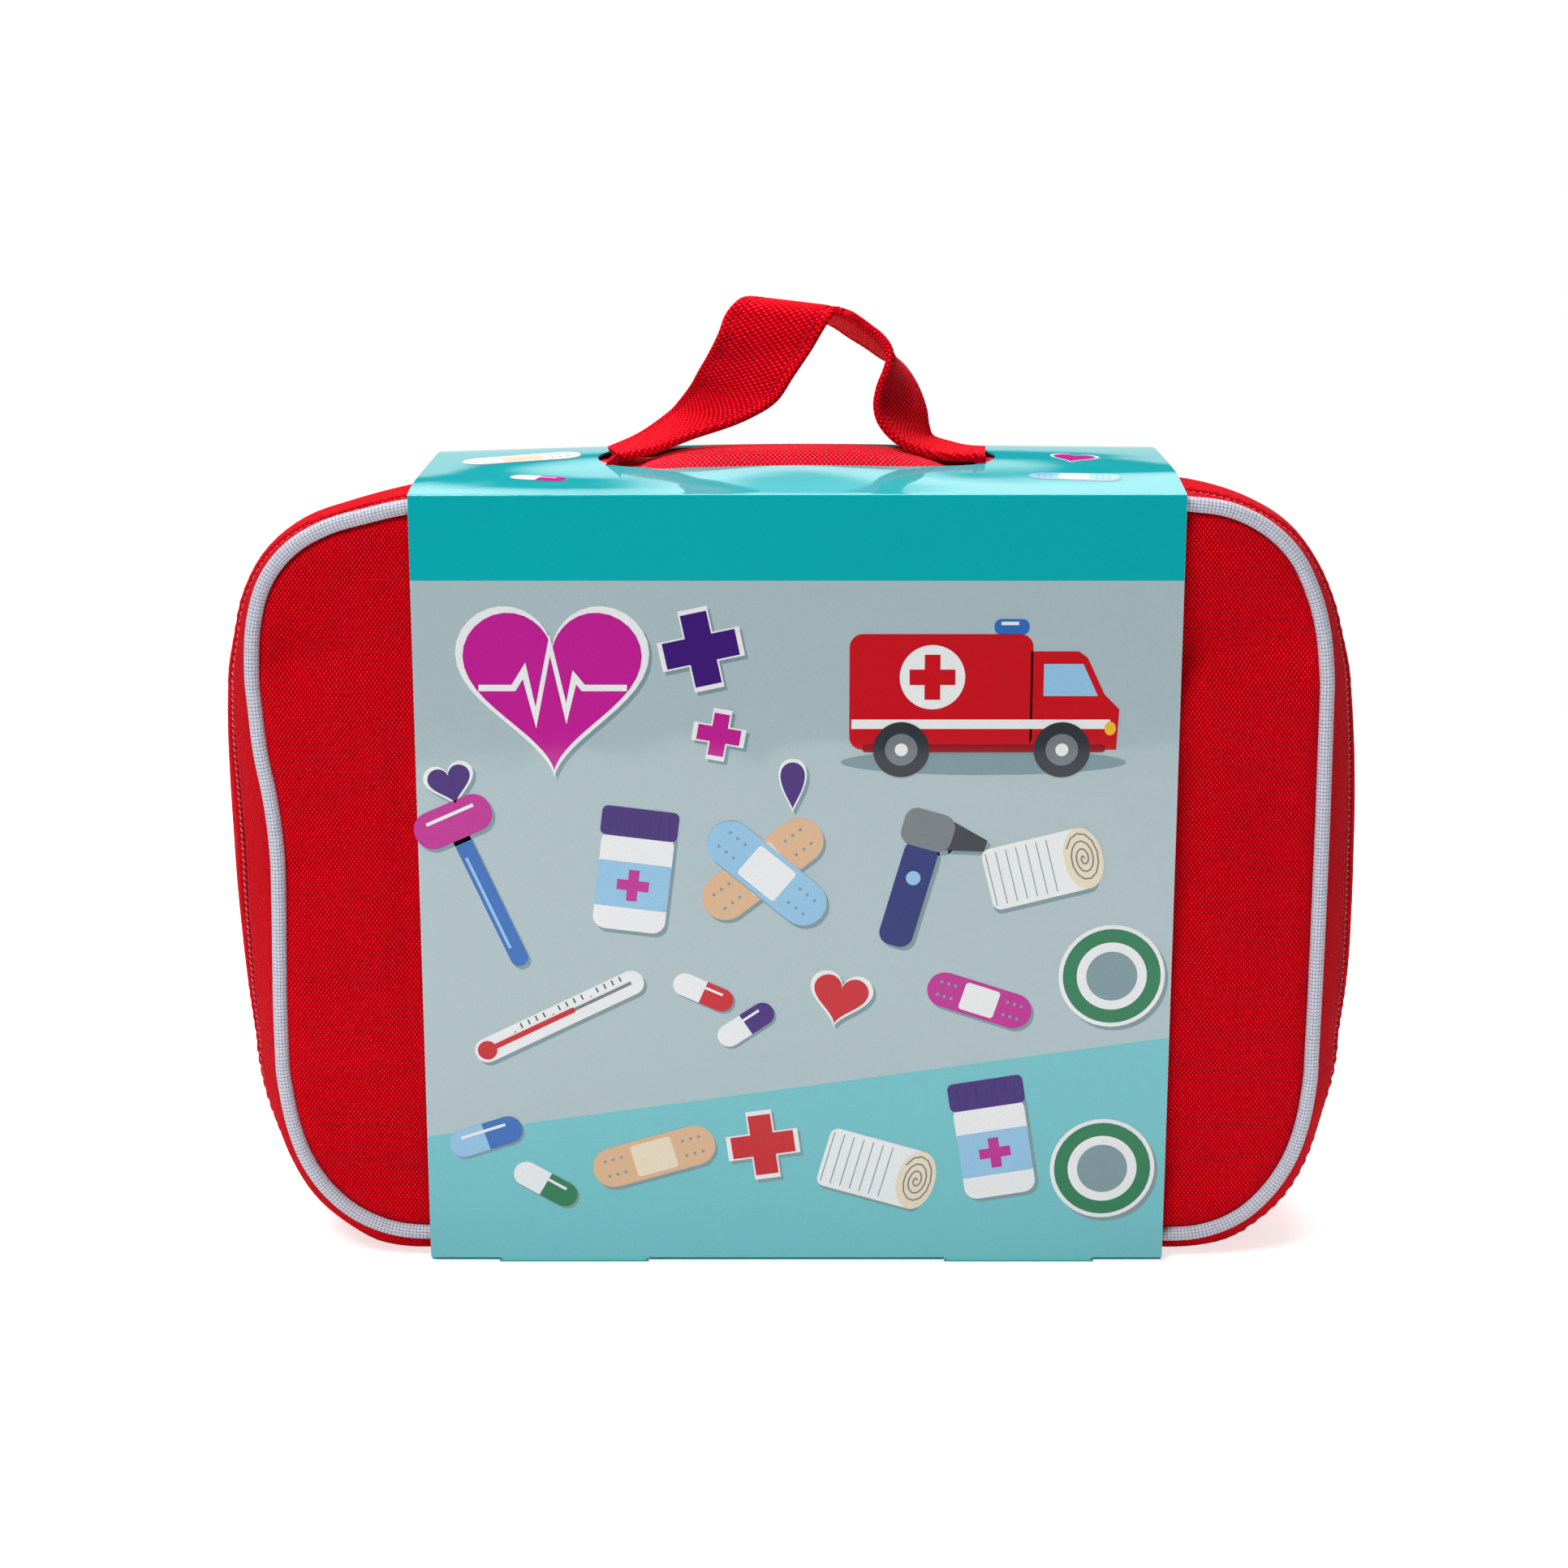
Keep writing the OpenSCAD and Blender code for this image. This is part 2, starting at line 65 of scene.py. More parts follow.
# Sizes read from the frame
piping_low, piping_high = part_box("front_piping")
PIPE_R = (piping_high.y - piping_low.y) / 2
PIPE_Y = -(piping_low.y + piping_high.y) / 2
HALF_W = piping_high.x - PIPE_R
RIM_LOW = piping_low.z + PIPE_R
RIM_HIGH = piping_high.z - PIPE_R
MID_Z = (RIM_LOW + RIM_HIGH) / 2
CORNER_R = 43 * MM
CORNER_X = HALF_W - CORNER_R
CORNER_RISE = (RIM_HIGH - RIM_LOW) / 2 - CORNER_R
PANEL_Y = -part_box("front_panel")[0].y
FOAM_Y = -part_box("front_foam")[0].y
LINING_Y = -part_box("front_lining")[0].y
TOP_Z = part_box("front_band")[1].z
BOTTOM_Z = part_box("front_band")[0].z
SEAM_Y = PIPE_Y - PIPE_R
SLOT_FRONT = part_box("front_band")[1].y
SLOT_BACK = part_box("back_band")[0].y
ZIP_Y = (SLOT_FRONT + SLOT_BACK) / 2
BAND_T = 1.5 * MM

# The rounded gusset: its seam lies a step outside the piping line
SEAM_STEP = 0.5 * MM
BULGE = 9.5 * MM
TOP_SLACK = 1.8 * MM
HOLE_RISE = 7.2 * MM
GROOVE = 5 * MM
LENGTH = 7

# How the soft rim departs from the plain outline in millimetres, clockwise from the lower left
# corner, at even steps along each corner, side and run: front piping, back piping, swell between
RIM_FIT = {
    "low_left": ([-0.6, 0.9, 2.2, 2.6, 2.0, 0.8, -0.6, -1.5, -1.5], [0, 0.4, 0.6, 0.6, 0.4, -0.1, -0.7, -1.2, -1.5],
                 [0, 6.5, 5.5, 4.4, 3.8, 1.8, 0.2, -0.6, 0]),
    "left": ([-1.5, -1.5, -1.9, -2.4, -2.6, -1.6, 0.4, 1.3], [-1.5, -1.7, -2, -2.2, -2.2, -2, -1.6, -1.2],
             [0, 1.5, 2.5, 3.2, 3.5, 3.7, 3.5, 2.7]),
    "top_left": ([1.3, 2.2, 3.8, 5.3, 5.3, 3.8, 2.0, 1.5, 1.5], [-1.2, -0.6, 0, 0.2, -0.3, -1.4, -2.6, -3.6, -4],
                 [2.7, 1.6, 1.9, 1.4, -1.0, -4.6, -6.7, -7.4, -7.3]),
    "top": ([1.5, 1.5], [-4, -4], [-7.3, -6.5]),
    "top_right": ([1.5, 2.2, 3.4, 3.7, 3.0, 1.3, -0.2, -1.3, -1.6], [-4, -3.6, -2.6, -1.6, -1, -0.8, -1, -1.3, -1.5],
                  [-6.5, -5.9, -4.8, -3.3, -1.9, -1.9, -2.2, -2.2, -0.8]),
    "right": ([-1.6, -1.5, -1.5, -1.5, -1.4, -1.4, -1.6], [-1.5, -1.6, -1.8, -2, -1.9, -1.7, -1.4],
              [-0.8, 0.9, 1.9, 2.3, 2.5, 2.2, 0.6]),
    "low_right": ([-1.6, -1.3, -0.2, 1.4, 2.8, 3.7, 3.2, 1.6, -0.3], [-1.4, -1, -0.4, 0.1, 0.4, 0.5, 0.4, 0.2, 0],
                  [0.6, 0.2, 0.2, 2.1, 4.0, 4.6, 5.5, 5.5, 0]),
    "bottom": ([-0.3, -0.6], [0, 0], [0, 0]),
}
SEGMENTS = list(RIM_FIT)
ZIP_SEGMENTS = SEGMENTS[:-1]


def smooth_rows(values, count):
    """A curve through evenly spaced values, read at count even steps."""
    at = np.linspace(0, len(values) - 1, count)
    low = np.clip(at.astype(int), 0, len(values) - 2)
    t = at - low
    padded = np.concatenate([[2 * values[0] - values[1]], values, [2 * values[-1] - values[-2]]])
    a, b, c, d = (padded[low + k] for k in range(4))
    return 0.5 * (2 * b + (c - a) * t + (2 * a - 5 * b + 4 * c - d) * t**2 + (3 * b - a - 3 * c + d) * t**3)


def rim(names, step):
    """Stations along the rim: axis x and z, outward x and z, front shift, back shift, swell, length."""
    corners = {
        "low_left": (-1, -1, 270), "top_left": (-1, 1, 180), "top_right": (1, 1, 90), "low_right": (1, -1, 0),
    }
    runs = {
        "left": ((-1, -1), (-1, 1), (-1, 0)), "top": ((-1, 1), (1, 1), (0, 1)),
        "right": ((1, 1), (1, -1), (1, 0)), "bottom": ((1, -1), (-1, -1), (0, -1)),
    }
    rows, length = [], 0.0
    for name in names:
        if name in corners:
            sx, sz, start = corners[name]
            size = CORNER_R * math.pi / 2
        else:
            (x0, z0), (x1, z1), out = runs[name]
            size = 2 * (CORNER_X if out[0] == 0 else CORNER_RISE)
        count = max(2, round(size / step) + 1)
        fit = [smooth_rows(np.array(row, float) * MM, count) for row in RIM_FIT[name]]
        for k in range(count):
            t = k / (count - 1)
            if k == 0 and rows:
                continue
            if name in corners:
                angle = math.radians(start - 90 * t)
                axis = (sx * CORNER_X, MID_Z + sz * CORNER_RISE)
                out = (math.cos(angle), math.sin(angle))
            else:
                axis = ((x0 + (x1 - x0) * t) * CORNER_X, MID_Z + (z0 + (z1 - z0) * t) * CORNER_RISE)
            rows.append((*axis, *out, *(row[k] for row in fit), length + size * t))
        length += size
    return np.array(rows)


def soft_min(a, limit, width):
    """The lesser of a value and a limit, with a rounded shoulder."""
    h = np.clip(0.5 + 0.5 * (limit - a) / width, 0, 1)
    return limit * (1 - h) + a * h - width * h * (1 - h)


def sunk(x):
    """Where the top of the gusset lies low, under the handle, from 0 to 1."""
    t = np.clip((66 * MM - np.abs(x)) / (10 * MM), 0, 1)
    return t * t * (3 - 2 * t)


def gusset_points(stations, y, depth):
    """Points of a gusset layer: one row a station, one column a depth across the case.

    Round the corner where the slider runs, the zip keeps its own level in a groove of the cloth.
    """
    ax, az, nx, nz, shift_front, shift_back, swell = (stations[:, k, None] for k in range(7))
    seam = CORNER_R + SEAM_STEP + np.where(y[None, :] < 0, shift_front, shift_back)
    peak = CORNER_R + SEAM_STEP + BULGE + swell
    across = np.abs(y[None, :] / PIPE_Y)
    out = seam + (peak - seam) * (1 - across ** (2 + 2 * np.clip(-nz, 0, 1)))
    path = CORNER_R + SEAM_STEP + BULGE * (1 - across ** 2)
    groove = np.exp(-((y[None, :] - ZIP_Y) / GROOVE) ** 2) * np.clip(-4 * nx, 0, 1) * np.clip(-4 * nz, 0, 1)
    out += (path - out) * groove - depth[None, :]
    x = ax + nx * out
    z = az + nz * out
    z = soft_min(z, TOP_Z + TOP_SLACK * (1 - sunk(x)) - depth[None, :], 1.2 * MM)
    z = -soft_min(-z, -(BOTTOM_Z + depth[None, :]), 1.2 * MM)
    return np.stack([x, np.broadcast_to(y[None, :], x.shape), z], axis=2)


# Meshes


def finish_mesh(name, verts, faces, corner_uv, smooth=True, merge=0.0):
    """A mesh object with its map of real lengths, in metres."""
    mesh = bpy.data.meshes.new(name)
    mesh.from_pydata([tuple(v) for v in verts], [], faces)
    layer = mesh.uv_layers.new(name="lengths")
    layer.data.foreach_set("uv", np.array(corner_uv, float).ravel())
    work = bmesh.new()
    work.from_mesh(mesh)
    if merge:
        bmesh.ops.remove_doubles(work, verts=work.verts, dist=merge)
        bmesh.ops.dissolve_degenerate(work, edges=work.edges, dist=merge / 10)
    bmesh.ops.recalc_face_normals(work, faces=work.faces)
    work.to_mesh(mesh)
    work.free()
    mesh.polygons.foreach_set("use_smooth", [smooth] * len(mesh.polygons))
    if smooth:
        mesh.set_sharp_from_angle(angle=math.radians(50))
    piece = bpy.data.objects.new(name, mesh)
    bpy.context.scene.collection.objects.link(piece)
    return piece


def grid_faces(rows, cols, wrap_rows, wrap_cols, offset=0):
    """Index quads of a grid, and the matching row and column of each corner."""
    faces, corners = [], []
    for i in range(rows if wrap_rows else rows - 1):
        for j in range(cols if wrap_cols else cols - 1):
            a, b = (i + 1) % rows, (j + 1) % cols
            faces.append(tuple(offset + k for k in (i * cols + j, i * cols + b, a * cols + b, a * cols + j)))
            corners += [(i, j), (i, j + 1), (i + 1, j + 1), (i + 1, j)]
    return faces, corners


def grid_piece(name, points, u, v, wrap_rows=False, wrap_cols=False, caps=False, smooth=True, merge=0.0):
    """A surface of rows and columns; u and v hold one more row or column where it closes."""
    rows, cols = points.shape[:2]
    faces, corners = grid_faces(rows, cols, wrap_rows, wrap_cols)
    uv = [(u[c], v[c]) for c in corners]
    if caps:
        for ring in (0, rows - 1):
            faces.append(tuple(ring * cols + j for j in range(cols)))
            uv += [(u[ring, j], v[ring, j]) for j in range(cols)]
    return finish_mesh(name, points.reshape(-1, 3), faces, uv, smooth, merge)


def ring_lengths(points, wrap=True):
    """Running length along each row of a grid, with a last column for the closing step."""
    loop = np.concatenate([points, points[:, :1]], axis=1) if wrap else points
    steps = np.linalg.norm(np.diff(loop, axis=1), axis=2)
    return np.concatenate([np.zeros((len(points), 1)), np.cumsum(steps, axis=1)], axis=1)


def tube(name, path, radius, sides=12, closed=False, pitch_noise=None):
    """A round tube along a path of points."""
    n = len(path)
    ahead = np.roll(path, -1, axis=0)
    behind = np.roll(path, 1, axis=0)
    if not closed:
        ahead[-1], behind[0] = path[-1], path[0]
    along = ahead - behind
    along /= np.linalg.norm(along, axis=1)[:, None]
    side = np.cross(along, (0.0, 1.0, 0.0))
    weak = np.linalg.norm(side, axis=1) < 0.2
    side[weak] = np.cross(along[weak], (0.0, 0.0, 1.0))
    side /= np.linalg.norm(side, axis=1)[:, None]
    up = np.cross(side, along)
    angle = np.arange(sides) * 2 * math.pi / sides
    size = np.full(n, radius) if pitch_noise is None else radius * pitch_noise
    ring = side[:, None] * np.cos(angle)[None, :, None] + up[:, None] * np.sin(angle)[None, :, None]
    points = path[:, None] + ring * size[:, None, None]
    walk = np.linalg.norm(np.diff(np.concatenate([path, path[:1]]), axis=0), axis=1)
    length = np.concatenate([[0], np.cumsum(walk)])
    rows = n + 1 if closed else n
    u = np.repeat(length[:rows, None], sides + 1, axis=1)
    v = np.repeat((np.arange(sides + 1) * 2 * math.pi * radius / sides)[None, :], rows, axis=0)
    return grid_piece(name, points, u, v, wrap_rows=closed, wrap_cols=True, caps=not closed)


def join_pieces(name, parts):
    """Joins loose pieces that share a look into one piece."""
    verts, faces, uv = [], [], []
    for part in parts:
        mesh = part.data
        offset = len(verts)
        verts += [tuple(v.co) for v in mesh.vertices]
        faces += [tuple(offset + i for i in p.vertices) for p in mesh.polygons]
        uv += [tuple(d.uv) for d in mesh.uv_layers[0].data]
        bpy.data.objects.remove(part)
        bpy.data.meshes.remove(mesh)
    return finish_mesh(name, verts, faces, uv)


# Materials


class Look:
    """A material with short calls for its node tree."""

    def __init__(self, name):
        self.material = bpy.data.materials.new(name)
        self.material.use_nodes = True
        self.tree = self.material.node_tree
        self.shader = self.tree.nodes["Principled BSDF"]

    def node(self, kind, **values):
        made = self.tree.nodes.new(kind)
        for key, value in values.items():
            setattr(made, key, value)
        return made

    def link(self, source, target):
        self.tree.links.new(source, target)

    def feed(self, socket, value):
        if isinstance(value, bpy.types.NodeSocket):
            self.link(value, socket)
        else:
            socket.default_value = value

    def math(self, operation, *values):
        made = self.node("ShaderNodeMath", operation=operation)
        for socket, value in zip(made.inputs, values):
            self.feed(socket, value)
        return made.outputs[0]

    def lengths(self):
        """The two real lengths of the piece's own map."""
        made = self.node("ShaderNodeUVMap", uv_map="lengths")
        split = self.node("ShaderNodeSeparateXYZ")
        self.link(made.outputs[0], split.inputs[0])
        return split.outputs[0], split.outputs[1]

    def places(self):
        """The place of a point in the part's frame."""
        made = self.node("ShaderNodeTexCoord")
        split = self.node("ShaderNodeSeparateXYZ")
        self.link(made.outputs["Object"], split.inputs[0])
        return split.outputs[0], split.outputs[1], split.outputs[2]

    def noise(self, scale, detail=3.0, rough=0.55):
        made = self.node("ShaderNodeTexNoise")
        coord = self.node("ShaderNodeTexCoord")
        self.link(coord.outputs["Object"], made.inputs["Vector"])
        made.inputs["Scale"].default_value = scale
        made.inputs["Detail"].default_value = detail
        made.inputs["Roughness"].default_value = rough
        return made.outputs["Fac"]

    def wave(self, value, pitch, phase=0.0):
        """A cosine wave of the given pitch."""
        turn = self.math("MULTIPLY_ADD", value, 2 * math.pi / pitch, phase)
        return self.math("COSINE", turn)

    def ramp(self, value, stops):
        made = self.node("ShaderNodeValToRGB")
        self.feed(made.inputs[0], value)
        points = made.color_ramp.elements
        while len(points) < len(stops):
            points.new(0.5)
        for point, (place, colour) in zip(points, stops):
            point.position = place
            point.color = (*colour, 1)
        return made.outputs[0]

    def mix(self, share, first, second, blend="MIX"):
        made = self.node("ShaderNodeMix", data_type="RGBA", blend_type=blend)
        self.feed(made.inputs[0], share)
        for socket, value in ((made.inputs[6], first), (made.inputs[7], second)):
            self.feed(socket, (*value, 1) if isinstance(value, tuple) else value)
        return made.outputs[2]

    def bump(self, height, distance, strength=1.0, under=None):
        made = self.node("ShaderNodeBump")
        made.inputs["Distance"].default_value = distance
        made.inputs["Strength"].default_value = strength
        self.link(height, made.inputs["Height"])
        if under is not None:
            self.link(under, made.inputs["Normal"])
        return made.outputs[0]

    def finish(self, colour, roughness, normal=None, **plain):
        self.feed(self.shader.inputs["Base Color"], (*colour, 1) if isinstance(colour, tuple) else colour)
        self.feed(self.shader.inputs["Roughness"], roughness)
        if normal is not None:
            self.link(normal, self.shader.inputs["Normal"])
        for key, value in plain.items():
            self.shader.inputs[key.replace("_", " ")].default_value = value
        return self.material


def linear(r, g, b):
    """A screen colour from 0 to 255 as linear light."""
    return tuple((c / 255 / 12.92) if c <= 10 else ((c / 255 + 0.055) / 1.055) ** 2.4 for c in (r, g, b))


def woven(name, pitch_u, pitch_v, low, mid, high, depth, rough=0.75, stagger=True, vary=0.14, **plain):
    """Cloth whose yarns show as rows of pebbles, set half a step apart in each next row."""
    look = Look(name)
    u, v = look.lengths()
    wobble = look.math("MULTIPLY", look.math("SUBTRACT", look.noise(160, 2), 0.5), 0.5 * pitch_u)
    u = look.math("ADD", u, wobble)
    across = look.wave(u, pitch_u)
    along = look.wave(v, pitch_v)
    if stagger:
        height = look.math("MULTIPLY", across, along)
    else:
        height = look.math("MINIMUM", across, along)
    height = look.math("MULTIPLY_ADD", height, 0.5, 0.5)
    if not stagger:
        height = look.math("POWER", height, 0.4)
    fibre = look.noise(1400, 2)
    height = look.math("MULTIPLY_ADD", fibre, 0.35, look.math("MULTIPLY", height, 0.8))
    # The ramp paints light on the weave by yarn height: painted shade in the gaps between yarns, a painted highlight
    # on the yarn tops
    shade = look.ramp(height, [(0.16, low), (0.54, mid), (0.84, tuple(c * 1.15 for c in mid)), (1.0, high)])
    broad = look.noise(24, 3)
    dull = look.math("MULTIPLY_ADD", broad, vary * 2, 1 - vary)
    tone = look.node("ShaderNodeCombineColor")
    for socket in tone.inputs:
        look.link(dull, socket)
    shade = look.mix(1.0, shade, tone.outputs[0], "MULTIPLY")
    normal = look.bump(height, depth)
    roughness = look.math("MULTIPLY_ADD", height, -0.15, rough + 0.1)
    return look.finish(shade, roughness, normal, **plain)


def grainy(name, colour, spread, scale, depth, rough, **plain):
    """A plain stuff with a fine grain and a broad drift of tone."""
    look = Look(name)
    grain = look.noise(scale, 4)
    low = tuple(c * (1 - spread) for c in colour)
    high = tuple(min(1.0, c * (1 + spread)) for c in colour)
    shade = look.ramp(look.math("ADD", look.math("MULTIPLY", grain, 0.6), look.math("MULTIPLY", look.noise(30), 0.4)),
                      [(0.3, low), (0.7, high)])
    return look.finish(shade, look.math("MULTIPLY_ADD", grain, 0.2, rough - 0.1), look.bump(grain, depth), **plain)


# Red cloth tones: painted shade for the gaps between yarns, the dye itself, and a painted highlight for the yarn tops
RED_GAP_SHADE = linear(76, 0, 3)
RED_MID = linear(220, 0, 19)
RED_PEBBLE_HIGHLIGHT = linear(255, 66, 80)
RED_GLOSS = {"Specular_IOR_Level": 0.02, "Sheen_Weight": 0.06, "Sheen_Tint": (1.0, 0.1, 0.16, 1.0)}
red_cloth = woven("red_oxford", 0.95 * MM, 1.3 * MM, RED_GAP_SHADE, RED_MID, RED_PEBBLE_HIGHLIGHT, 0.3 * MM, **RED_GLOSS)
band_cloth = woven("red_oxford_band", 0.9 * MM, 1.0 * MM, RED_GAP_SHADE, linear(212, 0, 18), linear(255, 66, 80),
                   0.2 * MM, **RED_GLOSS)
# A paler copy of the red cloth for the soft top: painted light, as if the top were lit more strongly from above
lit_top_cloth = woven("red_oxford_top_painted_lit", 1.1 * MM, 1.5 * MM, linear(170, 0, 22), linear(250, 34, 54), linear(255, 150, 158),
                  0.3 * MM, **RED_GLOSS)
strap_cloth = woven("red_strap", 1.2 * MM, 1.8 * MM, linear(112, 0, 6), linear(236, 0, 24), linear(255, 80, 94),
                    0.2 * MM, **RED_GLOSS)
piping_cloth = woven("white_piping", 0.85 * MM, 0.75 * MM, linear(98, 102, 136), linear(206, 208, 220),
                     linear(238, 238, 244), 0.1 * MM, stagger=False, vary=0.05, Specular_IOR_Level=0.2)
binding_cloth = woven("binding_tape", 0.8 * MM, 0.4 * MM, linear(60, 0, 6), linear(130, 4, 18), linear(160, 14, 28),
                      0.1 * MM, **RED_GLOSS)
tape_cloth = woven("zip_tape", 0.6 * MM, 0.4 * MM, linear(100, 0, 10), linear(170, 6, 26), linear(205, 24, 40),
                   0.08 * MM, **RED_GLOSS)
thread = grainy("red_thread", linear(220, 30, 52), 0.25, 2600, 0.05 * MM, 0.6, **RED_GLOSS)
coil_plastic = grainy("red_coil", linear(206, 26, 44), 0.12, 900, 0.02 * MM, 0.38)
zip_paint = grainy("red_painted_metal", linear(178, 12, 26), 0.08, 700, 0.02 * MM, 0.3, Coat_Weight=0.4)
foam_stuff = grainy("white_foam", linear(226, 226, 220), 0.06, 1200, 0.12 * MM, 0.85)
lining_cloth = grainy("grey_lining", linear(70, 70, 74), 0.2, 1500, 0.08 * MM, 0.8)
paper_back = grainy("bare_card", linear(196, 192, 184), 0.07, 1300, 0.03 * MM, 0.75)
emblem_ink = grainy("white_print", linear(236, 236, 238), 0.05, 1000, 0.06 * MM, 0.5)


def dress(piece, material, body=None, replaces=()):
    """Gives a piece its material and body, and hides the frame parts it replaces."""
    piece.data.materials.clear()
    piece.data.materials.append(material)
    if body:
        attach(piece, body)
    if replaces:
        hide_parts(*replaces)
    return piece


def bare_inside(piece, is_inner):
    """Gives the unprinted side of a card its bare stuff."""
    piece.data.materials.append(paper_back)
    for face in piece.data.polygons:
        if is_inner(face.center, face.normal):
            face.material_index = 1


def dress_node(node, material):
    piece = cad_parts[node]
    piece.data.materials.clear()
    piece.data.materials.append(material)
    return piece


# The two panels


# Soft dents of a panel: middle x and z, reach in x and z, depth
FRONT_DENTS = [
    (-114, 148, 15, 5, 3.0), (-112, 153, 18, 11, 1.3), (-100, 134, 22, 7, -1.5), (-117, 96, 8, 20, 1.2),
    (-102, 60, 22, 16, -1.2), (104, 149, 26, 5.5, 2.8), (106, 155, 24, 12, 1.6), (103, 133, 22, 8, -1.3),
    (114, 112, 8, 18, 1.2), (103, 70, 16, 20, -1.2),
    (98, 24, 22, 8, 1.3), (-98, 22, 20, 8, 1.3), (-91, 110, 4, 50, 1.1), (91, 104, 4, 56, 1.3),
    (-108, 116, 16, 5, 0.7), (106, 96, 18, 5, 0.7), (-106, 40, 18, 5, 0.6), (108, 44, 16, 5, 0.6),
]
BACK_DENTS = [(-60, 120, 40, 10, 0.6), (70, 60, 30, 14, 0.6), (0, 150, 60, 9, 0.4), (-100, 40, 16, 22, 0.5)]


def panel_layer(name, side, dents, outer_y, inner_y, inset, fall):
    """One closed layer of a panel, from its outer face to its inner face, at y = side times depth."""
    stations = rim(SEGMENTS, 2.4 * MM)[:-1]
    rings = np.concatenate([np.linspace(0, 0.7, 16, endpoint=False), np.linspace(0.7, 0.97, 22, endpoint=False),
                            np.linspace(0.97, 1, 5)])
    ax, az, nx, nz = (stations[:, k] for k in range(4))
    edge_r = CORNER_R + stations[:, 4 if side < 0 else 5] - inset
    edge_x, edge_z = ax + nx * edge_r, az + nz * edge_r
    heart_x, heart_z = np.clip(edge_x, -CORNER_X, CORNER_X), np.full(len(edge_x), MID_Z)
    x = heart_x + (edge_x - heart_x) * rings[:, None]
    z = heart_z + (edge_z - heart_z) * rings[:, None]
    gap = np.hypot(edge_x - x, edge_z - z)
    push = np.zeros(x.shape)
    for dx, dz, rx, rz, deep in dents:
        push += deep * MM * np.exp(-((x / MM - dx) / rx) ** 2 - ((z / MM - dz) / rz) ** 2)
    push *= 1 - np.exp(-gap / (4 * MM))
    outer = outer_y - fall * np.exp(-gap / (2.0 * MM)) - push
    front = np.stack([x, side * outer, z], axis=2)
    back = np.stack([x, side * (inner_y - push), z], axis=2)
    if name.endswith("cloth"):
        back[..., 1] = side * (outer - 0.7 * MM)
    points = np.concatenate([front, back[::-1]])
    flat = np.concatenate([points, points[:, :1]], axis=1)
    piece = grid_piece(name, points, flat[..., 0], flat[..., 2], wrap_cols=True, merge=0.02 * MM)
    return piece


front_cloth = dress(panel_layer("front_panel_cloth", -1, FRONT_DENTS, PANEL_Y, FOAM_Y, 1.3 * MM, 2.4 * MM),
                    red_cloth, "lid", ["front_panel"])
front_pad = dress(panel_layer("front_foam_pad", -1, FRONT_DENTS, FOAM_Y - 0.05 * MM, LINING_Y, 2.6 * MM, 1.5 * MM),
                  foam_stuff, "lid", ["front_foam"])
back_cloth = dress(panel_layer("back_panel_cloth", 1, BACK_DENTS, PANEL_Y, FOAM_Y, 1.3 * MM, 2.4 * MM),
                   red_cloth, "shell", ["back_panel"])
back_pad = dress(panel_layer("back_foam_pad", 1, BACK_DENTS, FOAM_Y - 0.05 * MM, LINING_Y, 2.6 * MM, 1.5 * MM),
                 foam_stuff, "shell", ["back_foam"])


# Piping


def piping(name, side):
    stations = rim(SEGMENTS, 1.6 * MM)[:-1]
    radius = CORNER_R + stations[:, 4 if side < 0 else 5]
    length = stations[:, LENGTH]
    wander = 0.25 * MM * np.sin(length / (17 * MM)) * np.sin(length / (41 * MM))
    path = np.stack([stations[:, 0] + stations[:, 2] * (radius + wander),
                     np.full(len(stations), side * PIPE_Y),
                     stations[:, 1] + stations[:, 3] * (radius + wander)], axis=1)
    low = np.minimum(path[:, 2], BOTTOM_Z + 3.2 * MM + PIPE_R)
    path[:, 2] = np.maximum(path[:, 2], low)
    return tube(name, path, PIPE_R * 0.88, sides=18, closed=True)


dress(piping("front_piping_cord", -1), piping_cloth, "lid", ["front_piping"])
dress(piping("back_piping_cord", 1), piping_cloth, "shell", ["back_piping"])


# The line of the card sleeve's top, which the soft top of the case fills

SLEEVE_LOW, SLEEVE_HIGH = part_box("sleeve_top")
SLEEVE_HALF = SLEEVE_HIGH.x
CARD_FACE = -SLEEVE_LOW.y
CARD_T = 0.5 * MM
TAB_LOW, TAB_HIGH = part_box("lock_tab_right")
CREASE_Z = 185.5 * MM
CREASE_R = 0.7 * MM
FLAT_HALF = CARD_FACE - CREASE_R
PROFILE_HALF = FLAT_HALF + CREASE_R * math.pi / 2
# How far the top card arches above its creases in millimetres, in even steps from the front crease to
# the rear one. The rows go from its left end to its right end
ARCH_COLS = 161
ARCH = np.array([smooth_rows(np.array(row), ARCH_COLS) for row in (
    [0, 0.66, 1.08, 1.4, 1.62, 1.76, 1.9, 2.03, 2.16, 2.28, 2.4, 2.52, 2.65, 2.68, 2.5, 1.5, 0],
    [0, 0.42, 0.76, 1.1, 1.45, 1.9, 2.4, 2.95, 3.45, 3.85, 4.15, 4.35, 4.4, 4.25, 3.7, 2.1, 0],
    [0, 0.9, 1.8, 2.7, 3.5, 4.1, 4.5, 4.7, 4.85, 4.95, 5, 5.06, 5, 4.86, 4.2, 2.31, 0],
    [0, 0.67, 1.3, 1.75, 2.1, 2.45, 2.85, 3.3, 3.75, 4.1, 4.4, 4.6, 4.65, 4.5, 3.9, 2.2, 0],
    [0, 0.67, 1.34, 2.0, 2.62, 2.88, 3.08, 3.26, 3.42, 3.56, 3.7, 3.82, 3.92, 3.92, 3.6, 2.1, 0],
)]) * MM
ARCH = np.array([smooth_rows(ARCH[:, k], ARCH_COLS) for k in range(ARCH_COLS)])


